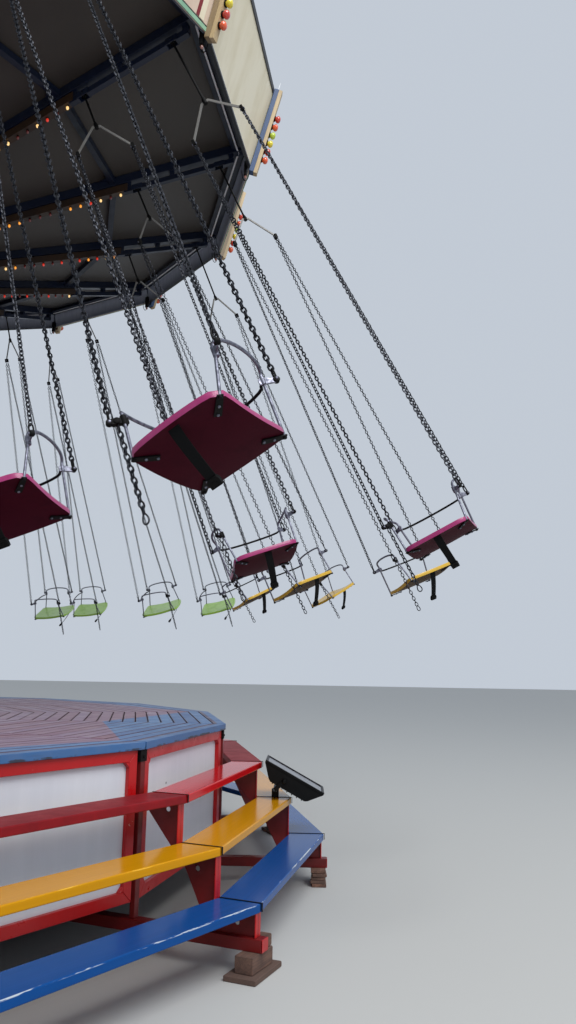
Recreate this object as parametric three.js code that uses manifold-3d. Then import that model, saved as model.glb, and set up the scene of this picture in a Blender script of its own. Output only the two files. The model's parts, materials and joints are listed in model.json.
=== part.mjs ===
// Travelling chair swing ride: a stepped sixteen-sided platform, a fixed centre mast,
// a turning canopy with leaning rounding boards, and thirty-two chairs hung on chains.
// Millimetres, +Z up, origin on the ground under the mast. Every chair is drawn swung out, at rest
// in the pose of the turning ride.
import * as THREE from "three";
import { mergeVertices } from "three/addons/utils/BufferGeometryUtils.js";
import Module from "manifold-3d";

const wasm = await Module();
wasm.setup();

const SIDES = 16;
const SIDE_ANGLE = (2 * Math.PI) / SIDES;
const QUARTERS = 4;
const HALVES = 2;
const CANOPY_TURN = THREE.MathUtils.degToRad(4.1); // canopy against platform, as the ride stands here
const SEAT_GAP = 0.3; // between pieces that rest on each other

// Platform. Radii are to the corners of the sixteen-sided figure.
const DECK_TOP = 1110;
const DECK_THICK = 45;
const DECK_RADIUS = 4050;
const DECK_HOLE_RADIUS = 260;
const DECK_SPLIT_GAP = 2;
const PLANK_THICK = 45;
const STEPS = [
  { name: "red", top: 840, inner: 4100, outer: 4330, colour: 0xa51f26 },
  { name: "yellow", top: 590, inner: 4300, outer: 4550, colour: 0xd99a12 },
  { name: "blue", top: 340, inner: 4540, outer: 4790, colour: 0x1d4fa3 },
];

// Under-frame: foot beams on packing, stepped stringers, skirt posts and framed skirt boards.
const FOOT_BEAM = { bottom: 170, top: 270, width: 75, inner: 2850, outer: 4810 };
const PACKING_BOARD = { thick: 45, inner: 4590, outer: 4880, width: 260 };
const PACKING_BLOCK = { inner: 4640, outer: 4850, width: 200 };
const INNER_PACKING = { inner: 2840, outer: 3000, width: 160 };
const RING_RAIL = { inner: 2850, outer: 2930, bottom: 190 };
const WEB = { thick: 46, strap: 40, back: 48, ledge: 77, heel: 100, lift: 15 };
const LAST_RISER_IN = 10;
const RISER_CLEAR = 6;
const FUSE = 1; // how far pieces of one weldment run into each other
const POST = { inner: 4002, outer: 4035, width: 45 };
const SKIRT_RADIUS = 4030;
const SKIRT_FRAME_THICK = 28;
const SKIRT_RAIL = 58;
const SKIRT_BOARD_THICK = 12;
const SKIRT_TO_CORNER = 18;

// Centre: mast on its own cross of sole beams, and a boarded casing round its foot.
const SOLE_BEAMS = 8;
const SOLE_BEAM = { width: 100 };
const CENTRE_PAD = 420;
const MAST_RADIUS = 160;
const SPINDLE_RADIUS = 90;
const SPINDLE_RISE = 30;
const CASING = { inner: 640, outer: 665, top: 2560, lid: 25 };

// Under-deck joists, from a drum round the foot of the mast out to the skirt.
const JOIST = { width: 60, height: 110 };
const DRUM_RADIUS = 380;

// Floodlight on the yellow tread at the +X corner. Its face looks up and outwards.
const LAMP = { face: 480, back: 300, width: 340, depth: 150, tilt: 0.49, radius: 4577, height: 170 };
const LAMP_POST = { radius: 4430, width: 40, height: 100, sole: 120, soleThick: 8 };

// Canopy. Each arm is an upper box and a lower rail; its centre line rises outwards.
const ARM_ROOT = 400;
const ARM_START = 340; // inside the hub
const ARM_SLOPE = 0.36;
const ARM_Z_AT_2M = 5340;
const ARM_BOX = 76;
const LOWER_RAIL = { size: 46, bottom: 126, outer: 3960 };
const HANGER_SLOT = { half: 40, width: 40 };
const LIGHT_BOX = { inner: 560, outer: 3040 };
const MID_RING = { radius: 2920, size: 52 };
const RIM_RING = { radius: 4030, size: 52 };
const HUB = { radius: 410, above: 90, below: 240 };
const HUB_BORE_GAP = 5;
const ROOF = { inner: 430, outer: 4152, thick: 8 };
const BOARD = { bottomRadius: 4110, bottom: 5880, topRadius: 4310, top: 6650, thick: 22 };
const CORNER_STRIP = { width: 110, thick: 30, sunk: 6, below: 45, above: 20 };
const SPIKE = { length: 110, width: 14 };

// Chairs, hung from the arms on rods. Swing angles are from straight down.
const HANGERS = [
  { ring: "inner", pivotRadius: 3120, rod: 305, swing: THREE.MathUtils.degToRad(23.04) },
  { ring: "outer", pivotRadius: 3830, rod: 585, swing: THREE.MathUtils.degToRad(26.6) },
];
const FORK_TO_SEAT = 3470;
const BOSS = { radius: 18, sides: 6 };
const ROD_RADIUS = 8;
const FORK = { half: 200, drop: 220, shoulder: 55, radius: 10 };
const CHAIN_SIZE = 12;
const CHAIN_CROTCH = 90; // how far below the fork the two chains of a side part
const BAR_INSET = 0.5;
const CHAIR = { half: 192, depth: 182, rodHeight: 215 };
const PAN = { half: 192, depth: 197, thick: 12, sag: 18, steps: 4 };
// Degrees of swing beyond the ring's, of lean to the back and of twist about the rod, as solved from the
// photo. The chairs out of view hang like the mean of these.
const CHAIR_POSES = {
  inner_01: [0.4, 1.5, 34], inner_02: [1.9, 4.4, 8], inner_03: [1.0, 2.8, 37],
  inner_04: [0.1, 1.1, 14], inner_15: [-0.6, -1.3, 30], inner_16: [-0.1, 0.8, 30],
  outer_01: [-1.9, -4.5, 18], outer_02: [1.0, 5.6, 15], outer_03: [0.0, 3.5, 35],
  outer_04: [0.0, 2.9, 16], outer_15: [0.2, 0.5, 11], outer_16: [0.2, 2.2, -1.5],
};
const MEAN_POSE = [0.0, 1.6, 22];
const CHAIR_COLOURS = [0xb5387a, 0xd7a92a, 0x8fbf5a];
const ARMS_PER_COLOUR = 2;
const FIRST_COLOURED_ARM = 14; // the colours are counted round from here

const paint = (color, roughness = 0.5, metalness = 0) =>
  new THREE.MeshStandardMaterial({ color, roughness, metalness });
const RED_STEEL = paint(0x9c1c22, 0.45, 0.2);
const NAVY_STEEL = paint(0x1b2540, 0.5, 0.3);
const CREAM_BOARD = paint(0xc9c7b4, 0.55);
const WHITE_BOARD = paint(0xd8dade, 0.6);
const DECK_PAINT = paint(0x4a70a4, 0.6);
const DARK_SHEET = paint(0x262522, 0.85);
const BLACK_METAL = paint(0x141414, 0.5, 0.2);

const ride = new THREE.Group();

function solidOf(geometry) {
  const bare = geometry.clone();
  bare.deleteAttribute("normal");
  bare.deleteAttribute("uv");
  const merged = mergeVertices(bare, 1e-3);
  return new wasm.Manifold(
    new wasm.Mesh({
      numProp: 3,
      vertProperties: new Float32Array(merged.attributes.position.array),
      triVerts: new Uint32Array(merged.index.array),
    }),
  );
}

function geometryOf(solid) {
  const mesh = solid.getMesh();
  const geometry = new THREE.BufferGeometry();
  geometry.setAttribute("position", new THREE.BufferAttribute(mesh.vertProperties, 3));
  geometry.setIndex(new THREE.BufferAttribute(mesh.triVerts, 1));
  geometry.computeVertexNormals();
  return geometry;
}

function joined(geometries) {
  return geometries.map(solidOf).reduce((whole, piece) => whole.add(piece));
}

function addNode(name, geometry, material, parent = ride) {
  const mesh = new THREE.Mesh(geometry, material);
  mesh.name = name;
  parent.add(mesh);
  return mesh;
}

const polar = (radius, angle, z) =>
  new THREE.Vector3(radius * Math.cos(angle), radius * Math.sin(angle), z);

const cornerAngle = (corner) => corner * SIDE_ANGLE;

// A box whose length runs from one point to another, with `up` as near as it can be to its height.
function bar(from, to, width, height, up = new THREE.Vector3(0, 0, 1)) {
  const along = to.clone().sub(from);
  const across = up.clone().cross(along).normalize();
  const lift = along.clone().cross(across).normalize();
  const geometry = new THREE.BoxGeometry(along.length(), width, height);
  const turn = new THREE.Matrix4().makeBasis(along.clone().normalize(), across, lift);
  geometry.applyMatrix4(turn);
  const middle = from.clone().add(to).multiplyScalar(0.5);
  return geometry.translate(middle.x, middle.y, middle.z);
}

// A sixteen-sided ring from a closed outline of [radius, height] points.
function ring(outline, turn = 0) {
  const points = outline.map(([radius, z]) => new THREE.Vector2(radius, z));
  const geometry = new THREE.LatheGeometry([...points, points[0]], SIDES);
  return geometry.rotateX(Math.PI / 2).rotateZ(turn);
}

// A plate from an outline and holes drawn in its own plane, `thick` through. Turned up by a quarter
// about X it stands in the radial plane at angle 0.
function plate(outline, holes, thick) {
  const shape = new THREE.Shape(outline.map(([x, y]) => new THREE.Vector2(x, y)));
  shape.holes = holes.map((hole) => new THREE.Path(hole.map(([x, y]) => new THREE.Vector2(x, y))));
  const geometry = new THREE.ExtrudeGeometry(shape, { depth: thick, bevelEnabled: false });
  return geometry.translate(0, 0, -thick / 2);
}

// A box standing between two radii and two heights, centred on the line at `angle`.
function radialBox(inner, outer, width, bottom, top, angle) {
  const geometry = new THREE.BoxGeometry(outer - inner, width, top - bottom);
  return geometry.translate((inner + outer) / 2, 0, (bottom + top) / 2).rotateZ(angle);
}

function flatSlab(points, bottom, top) {
  const shape = new THREE.Shape(points.map((point) => new THREE.Vector2(point.x, point.y)));
  const geometry = new THREE.ExtrudeGeometry(shape, { depth: top - bottom, bevelEnabled: false });
  return geometry.translate(0, 0, bottom);
}

// Part of a flat sixteen-sided ring between two corners.
function ringSector(inner, outer, bottom, top, first, last) {
  const corners = [];
  for (let corner = first; corner <= last; corner += 1) corners.push(cornerAngle(corner));
  const outside = corners.map((angle) => polar(outer, angle, 0));
  const inside = corners.map((angle) => polar(inner, angle, 0)).reverse();
  return flatSlab([...outside, ...inside], bottom, top);
}

// Takes a thin slice out along the corner line at `angle`, so that neighbours don't touch.
function withoutLine(solid, angle, gap) {
  const blade = radialBox(0, 2 * DECK_RADIUS, gap, 0, 2 * DECK_TOP, angle);
  return solid.subtract(solidOf(blade));
}

function addDeck() {
  const share = SIDES / HALVES;
  for (let half = 0; half < HALVES; half += 1) {
    const first = half * share;
    const last = first + share;
    const slab = ringSector(
      DECK_HOLE_RADIUS, DECK_RADIUS, DECK_TOP - DECK_THICK, DECK_TOP, first, last,
    );
    let solid = withoutLine(solidOf(slab), cornerAngle(first), DECK_SPLIT_GAP);
    solid = withoutLine(solid, cornerAngle(last), DECK_SPLIT_GAP);
    addNode(`deck_half_${half + 1}`, geometryOf(solid), DECK_PAINT);
  }
}

function addTreads() {
  const share = SIDES / HALVES;
  for (const step of STEPS) {
    for (let half = 0; half < HALVES; half += 1) {
      const first = half * share;
      const last = first + share;
      const planks = ringSector(
        step.inner, step.outer, step.top - PLANK_THICK, step.top, first, last,
      );
      let solid = withoutLine(solidOf(planks), cornerAngle(first), DECK_SPLIT_GAP);
      solid = withoutLine(solid, cornerAngle(last), DECK_SPLIT_GAP);
      addNode(`${step.name}_treads_${half + 1}`, geometryOf(solid), paint(step.colour, 0.35));
    }
  }
}

// The zigzag side plate that carries the three treads, as [radius, height] points.
function stringerOutline() {
  const [red, yellow, blue] = STEPS;
  const seat = (step) => step.top - PLANK_THICK - SEAT_GAP;
  const riser = (next) => next.inner - RISER_CLEAR;
  const lastRiser = blue.outer - LAST_RISER_IN;
  const foot = FOOT_BEAM.top - FUSE;
  return [
    [POST.outer + SEAT_GAP, seat(red) - WEB.strap],
    [POST.outer + WEB.heel, seat(red) - WEB.strap],
    [riser(yellow) - WEB.back, seat(yellow) + WEB.lift],
    [riser(yellow) - WEB.back, seat(yellow) - WEB.strap],
    [riser(yellow) + WEB.ledge, seat(yellow) - WEB.strap],
    [riser(blue) - WEB.back, foot],
    [lastRiser, foot],
    [lastRiser, seat(blue)],
    [riser(blue), seat(blue)],
    [riser(blue), seat(yellow)],
    [riser(yellow), seat(yellow)],
    [riser(yellow), seat(red)],
    [POST.outer + SEAT_GAP, seat(red)],
  ];
}

function addBaseQuarters() {
  const share = SIDES / QUARTERS;
  for (let quarter = 0; quarter < QUARTERS; quarter += 1) {
    const pieces = [];
    for (let bay = 0; bay < share; bay += 1) {
      const angle = cornerAngle(quarter * share + bay);
      pieces.push(
        radialBox(
          FOOT_BEAM.inner, FOOT_BEAM.outer, FOOT_BEAM.width, FOOT_BEAM.bottom, FOOT_BEAM.top, angle,
        ),
        plate(stringerOutline(), [], WEB.thick).rotateX(Math.PI / 2).rotateZ(angle),
        radialBox(
          PACKING_BOARD.inner, PACKING_BOARD.outer, PACKING_BOARD.width, 0, PACKING_BOARD.thick, angle,
        ),
        radialBox(
          PACKING_BLOCK.inner, PACKING_BLOCK.outer, PACKING_BLOCK.width,
          PACKING_BOARD.thick - FUSE, FOOT_BEAM.bottom + FUSE, angle,
        ),
        radialBox(
          INNER_PACKING.inner, INNER_PACKING.outer, INNER_PACKING.width,
          0, RING_RAIL.bottom + FUSE, angle,
        ),
      );
      if (bay > 0) {
        const last = cornerAngle(quarter * share + bay - 1);
        const middle = (RING_RAIL.inner + RING_RAIL.outer) / 2;
        const height = (RING_RAIL.bottom + FOOT_BEAM.top) / 2;
        pieces.push(
          bar(
            polar(middle, last, height), polar(middle, angle, height),
            RING_RAIL.outer - RING_RAIL.inner, FOOT_BEAM.top - RING_RAIL.bottom,
          ),
        );
      }
    }
    addNode(`base_quarter_${quarter + 1}`, geometryOf(joined(pieces)), RED_STEEL);
  }
}

// One framed bay of the skirt: a rectangle of rails between two corners.
function skirtFrame(bay, bottom, top) {
  const half = SKIRT_RADIUS * Math.sin(SIDE_ANGLE / 2) - SKIRT_TO_CORNER;
  const box = (inset) => [
    [-half + inset, bottom + inset], [half - inset, bottom + inset],
    [half - inset, top - inset], [-half + inset, top - inset],
  ];
  const flat = SKIRT_RADIUS * Math.cos(SIDE_ANGLE / 2) - SKIRT_FRAME_THICK / 2;
  return plate(box(0), [box(SKIRT_RAIL)], SKIRT_FRAME_THICK)
    .rotateX(Math.PI / 2)
    .rotateZ(Math.PI / 2)
    .translate(flat, 0, 0)
    .rotateZ(cornerAngle(bay + 0.5));
}

// Corner radius of the skirt boards' outer face, just behind the frames.
function skirtBoardsRadius() {
  return SKIRT_RADIUS - (SKIRT_FRAME_THICK + SEAT_GAP) / Math.cos(SIDE_ANGLE / 2);
}

function addSkirt() {
  const bottom = FOOT_BEAM.top + SEAT_GAP;
  const top = DECK_TOP - DECK_THICK - SEAT_GAP;
  const share = SIDES / QUARTERS;
  for (let quarter = 0; quarter < QUARTERS; quarter += 1) {
    const pieces = [];
    for (let bay = quarter * share; bay < (quarter + 1) * share; bay += 1) {
      pieces.push(radialBox(POST.inner, POST.outer, POST.width, bottom, top, cornerAngle(bay)));
      pieces.push(skirtFrame(bay, bottom, top));
    }
    const nextPost = radialBox(
      POST.inner - SKIRT_RAIL, POST.outer + SKIRT_RAIL, POST.width + 2 * SEAT_GAP,
      bottom - SEAT_GAP, top + SEAT_GAP, cornerAngle((quarter + 1) * share),
    );
    const frame = joined(pieces).subtract(solidOf(nextPost));
    addNode(`skirt_frame_${quarter + 1}`, geometryOf(frame), RED_STEEL);
  }
  const halfShare = SIDES / HALVES;
  const outer = skirtBoardsRadius();
  for (let half = 0; half < HALVES; half += 1) {
    const boards = ringSector(
      outer - SKIRT_BOARD_THICK, outer, bottom, top, half * halfShare, (half + 1) * halfShare,
    );
    let solid = withoutLine(solidOf(boards), cornerAngle(half * halfShare), DECK_SPLIT_GAP);
    solid = withoutLine(solid, cornerAngle((half + 1) * halfShare), DECK_SPLIT_GAP);
    addNode(`skirt_boards_${half + 1}`, geometryOf(solid), WHITE_BOARD);
  }
}

const armHeight = (radius) => ARM_Z_AT_2M + ARM_SLOPE * (radius - 2000);
const armPoint = (radius, drop) => [radius, armHeight(radius) - drop];

function addCentre() {
  const railMiddle = (RING_RAIL.inner + RING_RAIL.outer) / 2;
  const railHalf = (RING_RAIL.outer - RING_RAIL.inner) / 2;
  const soleEnd = railMiddle * Math.cos(SIDE_ANGLE / 2) - railHalf - SEAT_GAP;
  const pad = new THREE.BoxGeometry(2 * CENTRE_PAD, 2 * CENTRE_PAD, FOOT_BEAM.top)
    .translate(0, 0, FOOT_BEAM.top / 2);
  const soles = [pad];
  for (let beam = 0; beam < SOLE_BEAMS; beam += 1) {
    const angle = (beam * 2 * Math.PI) / SOLE_BEAMS + SIDE_ANGLE / 2;
    soles.push(
      radialBox(0, soleEnd, SOLE_BEAM.width, FOOT_BEAM.bottom, FOOT_BEAM.top, angle),
    );
  }
  addNode("centre_base", geometryOf(joined(soles)), RED_STEEL);

  const deckUnderside = DECK_TOP - DECK_THICK - SEAT_GAP;
  const joistEnd = skirtBoardsRadius() - SKIRT_BOARD_THICK
    - (JOIST.width / 2) * Math.tan(SIDE_ANGLE / 2) - SEAT_GAP;
  const drumFoot = FOOT_BEAM.top + SEAT_GAP;
  const joists = [ring([
    [MAST_RADIUS, drumFoot], [DRUM_RADIUS, drumFoot],
    [DRUM_RADIUS, deckUnderside], [MAST_RADIUS, deckUnderside],
  ])];
  for (let joist = 0; joist < SIDES; joist += 1) {
    joists.push(radialBox(
      DRUM_RADIUS - JOIST.width, joistEnd, JOIST.width,
      deckUnderside - JOIST.height, deckUnderside, cornerAngle(joist),
    ));
  }
  addNode("deck_joists", geometryOf(joined(joists)), RED_STEEL);

  const hubBottom = armHeight(ARM_ROOT) - HUB.below;
  const spindleTop = armHeight(ARM_ROOT) + HUB.above + SPINDLE_RISE;
  const mastRadius = MAST_RADIUS - SEAT_GAP;
  const mast = new THREE.LatheGeometry([
    new THREE.Vector2(0, drumFoot),
    new THREE.Vector2(mastRadius, drumFoot),
    new THREE.Vector2(mastRadius, hubBottom - SEAT_GAP),
    new THREE.Vector2(SPINDLE_RADIUS, hubBottom - SEAT_GAP),
    new THREE.Vector2(SPINDLE_RADIUS, spindleTop),
    new THREE.Vector2(0, spindleTop),
  ], SIDES).rotateX(Math.PI / 2);
  addNode("centre_mast", geometryOf(solidOf(mast)), NAVY_STEEL);

  const lidUnderside = CASING.top - CASING.lid;
  const casing = ring([
    [CASING.inner, DECK_TOP + SEAT_GAP],
    [CASING.outer, DECK_TOP + SEAT_GAP],
    [CASING.outer, CASING.top],
    [MAST_RADIUS, CASING.top],
    [MAST_RADIUS, lidUnderside],
    [CASING.inner, lidUnderside],
  ]);
  addNode("centre_casing", geometryOf(solidOf(casing)), CREAM_BOARD);
}

function addFloodlight() {
  const [, yellow] = STEPS;
  const foot = yellow.top + SEAT_GAP;
  const face = LAMP.face / 2;
  const back = LAMP.back / 2;
  const housing = plate(
    [[-back, -LAMP.depth], [back, -LAMP.depth], [face, 0], [-face, 0]], [], LAMP.width,
  )
    .rotateX(Math.PI / 2)
    .rotateY(LAMP.tilt)
    .translate(LAMP.radius, 0, yellow.top + LAMP.height);
  const box = (size, height) => radialBox(
    LAMP_POST.radius - size / 2, LAMP_POST.radius + size / 2, size, foot, foot + height, 0,
  );
  const post = box(LAMP_POST.width, LAMP_POST.height);
  const sole = box(LAMP_POST.sole, LAMP_POST.soleThick);
  addNode("floodlight", geometryOf(joined([sole, post, housing])), BLACK_METAL);
}

// The radius at which a line `offset` above an arm's centre line meets the rounding boards.
function armTip(offset) {
  const lean = (BOARD.topRadius - BOARD.bottomRadius) / (BOARD.top - BOARD.bottom);
  const corners = (ARM_BOX / 2) * Math.tan(SIDE_ANGLE / 2) + SEAT_GAP;
  const level = armHeight(0) + offset - BOARD.bottom;
  return (BOARD.bottomRadius - BOARD.thick - corners + lean * level) / (1 - lean * ARM_SLOPE);
}

// Side view of an arm: the upper box, the light box under its inner length and the hanging rail
// under its outer length, as [radius, height] points.
function armOutline() {
  const half = ARM_BOX / 2;
  return [
    armPoint(ARM_START, -half), armPoint(armTip(half), -half), armPoint(armTip(-half), half),
    armPoint(LOWER_RAIL.outer, half), armPoint(LOWER_RAIL.outer, LOWER_RAIL.bottom),
    armPoint(LIGHT_BOX.inner, LOWER_RAIL.bottom), armPoint(LIGHT_BOX.inner, half),
    armPoint(ARM_START, half),
  ];
}

function armGap() {
  const top = ARM_BOX / 2;
  const bottom = LOWER_RAIL.bottom - LOWER_RAIL.size;
  const end = LOWER_RAIL.outer - LOWER_RAIL.size;
  return [
    armPoint(LIGHT_BOX.outer, bottom), armPoint(end, bottom),
    armPoint(end, top), armPoint(LIGHT_BOX.outer, top),
  ];
}

// A pivot lies in the middle of its arm's lower rail, in a slot between two cheeks.
const pivotHeight = (radius) => armHeight(radius) - LOWER_RAIL.bottom + LOWER_RAIL.size / 2;

function hangerSlot(radius, angle) {
  const gapMiddle = (ARM_BOX / 2 + LOWER_RAIL.bottom - LOWER_RAIL.size) / 2;
  const top = armHeight(radius) - gapMiddle;
  return radialBox(
    radius - HANGER_SLOT.half, radius + HANGER_SLOT.half, HANGER_SLOT.width,
    top - LOWER_RAIL.bottom, top, angle,
  );
}

function addCanopy() {
  const canopy = new THREE.Group();
  canopy.rotation.z = CANOPY_TURN;
  ride.add(canopy);

  const rootHeight = armHeight(ARM_ROOT);
  const bore = SPINDLE_RADIUS + HUB_BORE_GAP;
  const hub = ring([
    [bore, rootHeight - HUB.below],
    [HUB.radius, rootHeight - HUB.below],
    [HUB.radius, rootHeight + HUB.above],
    [bore, rootHeight + HUB.above],
  ]);
  const frame = [hub];
  const slots = [];
  for (let arm = 0; arm < SIDES; arm += 1) {
    const angle = cornerAngle(arm);
    const next = cornerAngle(arm + 1);
    frame.push(
      plate(armOutline(), [armGap()], ARM_BOX).rotateX(Math.PI / 2).rotateZ(angle),
    );
    for (const { radius, size } of [MID_RING, RIM_RING]) {
      frame.push(bar(
        polar(radius, angle, armHeight(radius)), polar(radius, next, armHeight(radius)), size, size,
      ));
    }
    for (const { pivotRadius } of HANGERS) slots.push(hangerSlot(pivotRadius, angle));
  }
  const slotted = joined(frame).subtract(joined(slots));
  addNode("canopy_frame", geometryOf(slotted), NAVY_STEEL, canopy);

  const above = ARM_BOX / 2 + SEAT_GAP / Math.cos(Math.atan(ARM_SLOPE));
  const roof = ring([
    [ROOF.inner, armHeight(ROOF.inner) + above],
    [ROOF.outer, armHeight(ROOF.outer) + above],
    [ROOF.outer, armHeight(ROOF.outer) + above + ROOF.thick],
    [ROOF.inner, armHeight(ROOF.inner) + above + ROOF.thick],
  ]);
  addNode("roof_sheet", geometryOf(solidOf(roof)), DARK_SHEET, canopy);

  const boards = [ring([
    [BOARD.bottomRadius - BOARD.thick, BOARD.bottom],
    [BOARD.bottomRadius, BOARD.bottom],
    [BOARD.topRadius, BOARD.top],
    [BOARD.topRadius - BOARD.thick, BOARD.top],
  ])];
  const lean = new THREE.Vector2(BOARD.topRadius - BOARD.bottomRadius, BOARD.top - BOARD.bottom);
  const unit = lean.clone().normalize();
  for (let corner = 0; corner < SIDES; corner += 1) {
    const angle = cornerAngle(corner);
    const along = (distance) => {
      const radius = BOARD.bottomRadius + unit.x * distance + CORNER_STRIP.thick / 2 - CORNER_STRIP.sunk;
      return polar(radius, angle, BOARD.bottom + unit.y * distance);
    };
    const length = lean.length();
    const outward = polar(1, angle, 0);
    boards.push(
      bar(
        along(-CORNER_STRIP.below), along(length + CORNER_STRIP.above),
        CORNER_STRIP.width, CORNER_STRIP.thick, outward,
      ),
      bar(
        along(length), along(length + SPIKE.length), SPIKE.width, SPIKE.width, outward,
      ),
    );
  }
  addNode("rounding_boards", geometryOf(joined(boards)), CREAM_BOARD, canopy);
  return canopy;
}

// One side of a chair, in its own plane: two chains spreading from an arm end, the bar between
// their hooks, and the two rods down to the seat.
function chairSide(top, bars, seat) {
  const half = CHAIN_SIZE / 2;
  const out = CHAIR.depth + half;
  const inn = CHAIR.depth - half;
  const foot = seat - PAN.thick / 2;
  const outline = [
    [-half, top], [-out, bars], [-out, foot], [-inn, foot], [-inn, bars - half],
    [inn, bars - half], [inn, foot], [out, foot], [out, bars], [half, top],
  ];
  const gap = [[0, top - CHAIN_CROTCH], [-inn, bars + half], [inn, bars + half]];
  return plate(outline, [gap], CHAIN_SIZE).rotateX(Math.PI / 2).rotateZ(Math.PI / 2);
}

// The hanging rod and its two-armed fork, flat in the plane of the ride's radius.
function hangerOutline(fork) {
  const { half, drop, shoulder, radius } = FORK;
  const side = (sign) => [
    [sign * ROD_RADIUS, 0],
    [sign * ROD_RADIUS, fork + radius],
    [sign * shoulder, fork + radius],
    [sign * (half + radius), fork - drop + radius],
    [sign * (half - radius), fork - drop - radius],
    [sign * (shoulder - radius), fork - radius],
  ];
  return [...side(-1), ...side(1).reverse()];
}

// A chair hanging from a pivot at the origin, before its swing; +X is outwards, the rider faces -Y.
function chairGeometry(rodLength, lean, twist) {
  const fork = -rodLength;
  const seat = fork - FORK_TO_SEAT;
  const bars = seat + CHAIR.rodHeight;
  const hanger = plate(hangerOutline(fork), [], 2 * ROD_RADIUS).rotateX(Math.PI / 2);
  const bossLength = HANGER_SLOT.width - 2 * SEAT_GAP;
  const boss = new THREE.CylinderGeometry(BOSS.radius, BOSS.radius, bossLength, BOSS.sides);
  const barSize = CHAIN_SIZE - 2 * BAR_INSET;
  const back = new THREE.BoxGeometry(2 * CHAIR.half, barSize, barSize)
    .translate(0, CHAIR.depth, bars + FUSE);
  const sides = [-1, 1].map((side) =>
    chairSide(fork - FORK.drop + BAR_INSET, bars, seat).translate(side * CHAIR.half, 0, 0));
  const hung = [hanger, back, ...sides, panGeometry().translate(0, 0, seat)];
  return geometryOf(joined([boss, ...hung.map((piece) => piece.rotateZ(twist).rotateX(lean))]));
}

// The seat pan: a thin board, dished from front to back.
function panGeometry() {
  const rise = (y) => PAN.sag * (y / PAN.depth) ** 2 - PAN.sag;
  const top = [];
  for (let step = 0; step <= PAN.steps; step += 1) {
    const y = PAN.depth * ((2 * step) / PAN.steps - 1);
    top.push(new THREE.Vector2(y, rise(y)));
  }
  const under = top.map((point) => new THREE.Vector2(point.x, point.y - PAN.thick)).reverse();
  const shape = new THREE.Shape([...top, ...under]);
  return new THREE.ExtrudeGeometry(shape, { depth: 2 * PAN.half, bevelEnabled: false })
    .translate(0, 0, -PAN.half)
    .rotateX(Math.PI / 2)
    .rotateZ(Math.PI / 2);
}

function addChairs(canopy) {
  for (const hanger of HANGERS) {
    for (let arm = 0; arm < SIDES; arm += 1) {
      const place = (arm - FIRST_COLOURED_ARM + SIDES) % SIDES;
      const colour = CHAIR_COLOURS[Math.floor(place / ARMS_PER_COLOUR) % CHAIR_COLOURS.length];
      const holder = new THREE.Group();
      holder.rotation.z = cornerAngle(arm);
      canopy.add(holder);
      const name = `${hanger.ring}_${String(arm + 1).padStart(2, "0")}`;
      const [extra, lean, twist] = (CHAIR_POSES[name] ?? MEAN_POSE).map(THREE.MathUtils.degToRad);
      const geometry = chairGeometry(hanger.rod, lean, twist);
      const chair = addNode(`chair_${name}`, geometry, paint(colour), holder);
      chair.position.set(hanger.pivotRadius, 0, pivotHeight(hanger.pivotRadius));
      chair.rotation.y = -hanger.swing - extra;
    }
  }
}

addDeck();
addTreads();
addBaseQuarters();
addSkirt();
addCentre();
addFloodlight();
addChairs(addCanopy());

export default ride;
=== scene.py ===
# Chair swing ride, dressed round its CAD frame: a stepped platform of painted boards on a welded
# under-frame, a turning canopy with leaning boards and light strips, and thirty-two seats on chains.
# Metres, +Z up, origin on the ground under the mast.
import json
import math
import random

import bpy
from mathutils import Matrix, Vector
from mathutils.geometry import tessellate_polygon


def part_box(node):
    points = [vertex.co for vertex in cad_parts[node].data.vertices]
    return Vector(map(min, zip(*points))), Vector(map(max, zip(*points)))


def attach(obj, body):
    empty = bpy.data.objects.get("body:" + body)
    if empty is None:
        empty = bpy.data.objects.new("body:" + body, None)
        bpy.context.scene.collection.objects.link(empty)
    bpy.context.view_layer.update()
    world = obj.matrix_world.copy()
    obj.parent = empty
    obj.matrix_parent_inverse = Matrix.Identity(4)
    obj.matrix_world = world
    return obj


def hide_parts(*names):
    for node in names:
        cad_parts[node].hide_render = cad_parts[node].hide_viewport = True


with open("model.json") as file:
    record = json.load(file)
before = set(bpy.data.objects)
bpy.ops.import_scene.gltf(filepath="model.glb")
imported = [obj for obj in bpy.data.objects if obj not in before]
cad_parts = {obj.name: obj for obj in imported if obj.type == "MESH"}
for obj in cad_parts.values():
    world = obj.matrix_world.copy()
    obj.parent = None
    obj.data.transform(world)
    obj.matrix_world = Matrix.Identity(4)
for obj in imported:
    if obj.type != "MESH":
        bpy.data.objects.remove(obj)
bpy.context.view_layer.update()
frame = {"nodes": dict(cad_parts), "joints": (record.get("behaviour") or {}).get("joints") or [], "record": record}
rng = random.Random(16)

SIDES = 16
SIDE_ANGLE = 2 * math.pi / SIDES
HALF_SIDE = SIDE_ANGLE / 2
CANOPY_TURN = math.radians(4.1)
UP = Vector((0, 0, 1))
QUARTER_X = Matrix.Rotation(math.pi / 2, 4, "X")
QUARTER_Y = Matrix.Rotation(math.pi / 2, 4, "Y")
UPSIDE_DOWN = Matrix.Rotation(math.pi, 4, "X")
TOUCH = 0.0003  # between pieces that rest on each other

# Platform. Radii are to the corners of the sixteen-sided figure.
DECK_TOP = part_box("deck_half_1")[1].z
DECK_THICK = 0.045
DECK_RADIUS = 4.05
DECK_CENTRE = 0.60
DECK_BOARD = {"pitch": 0.096, "gap": 0.007, "mitre": 0.008, "uneven": 0.002}
RIM_UNRUBBED = 0.02  # keeps the rubbed band off the outer edge of the deck
BAND_BOARDS = (9.5, 1.8, 4, 1.8)  # the blue rim's depth at four corners in turn, counted in boards
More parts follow.
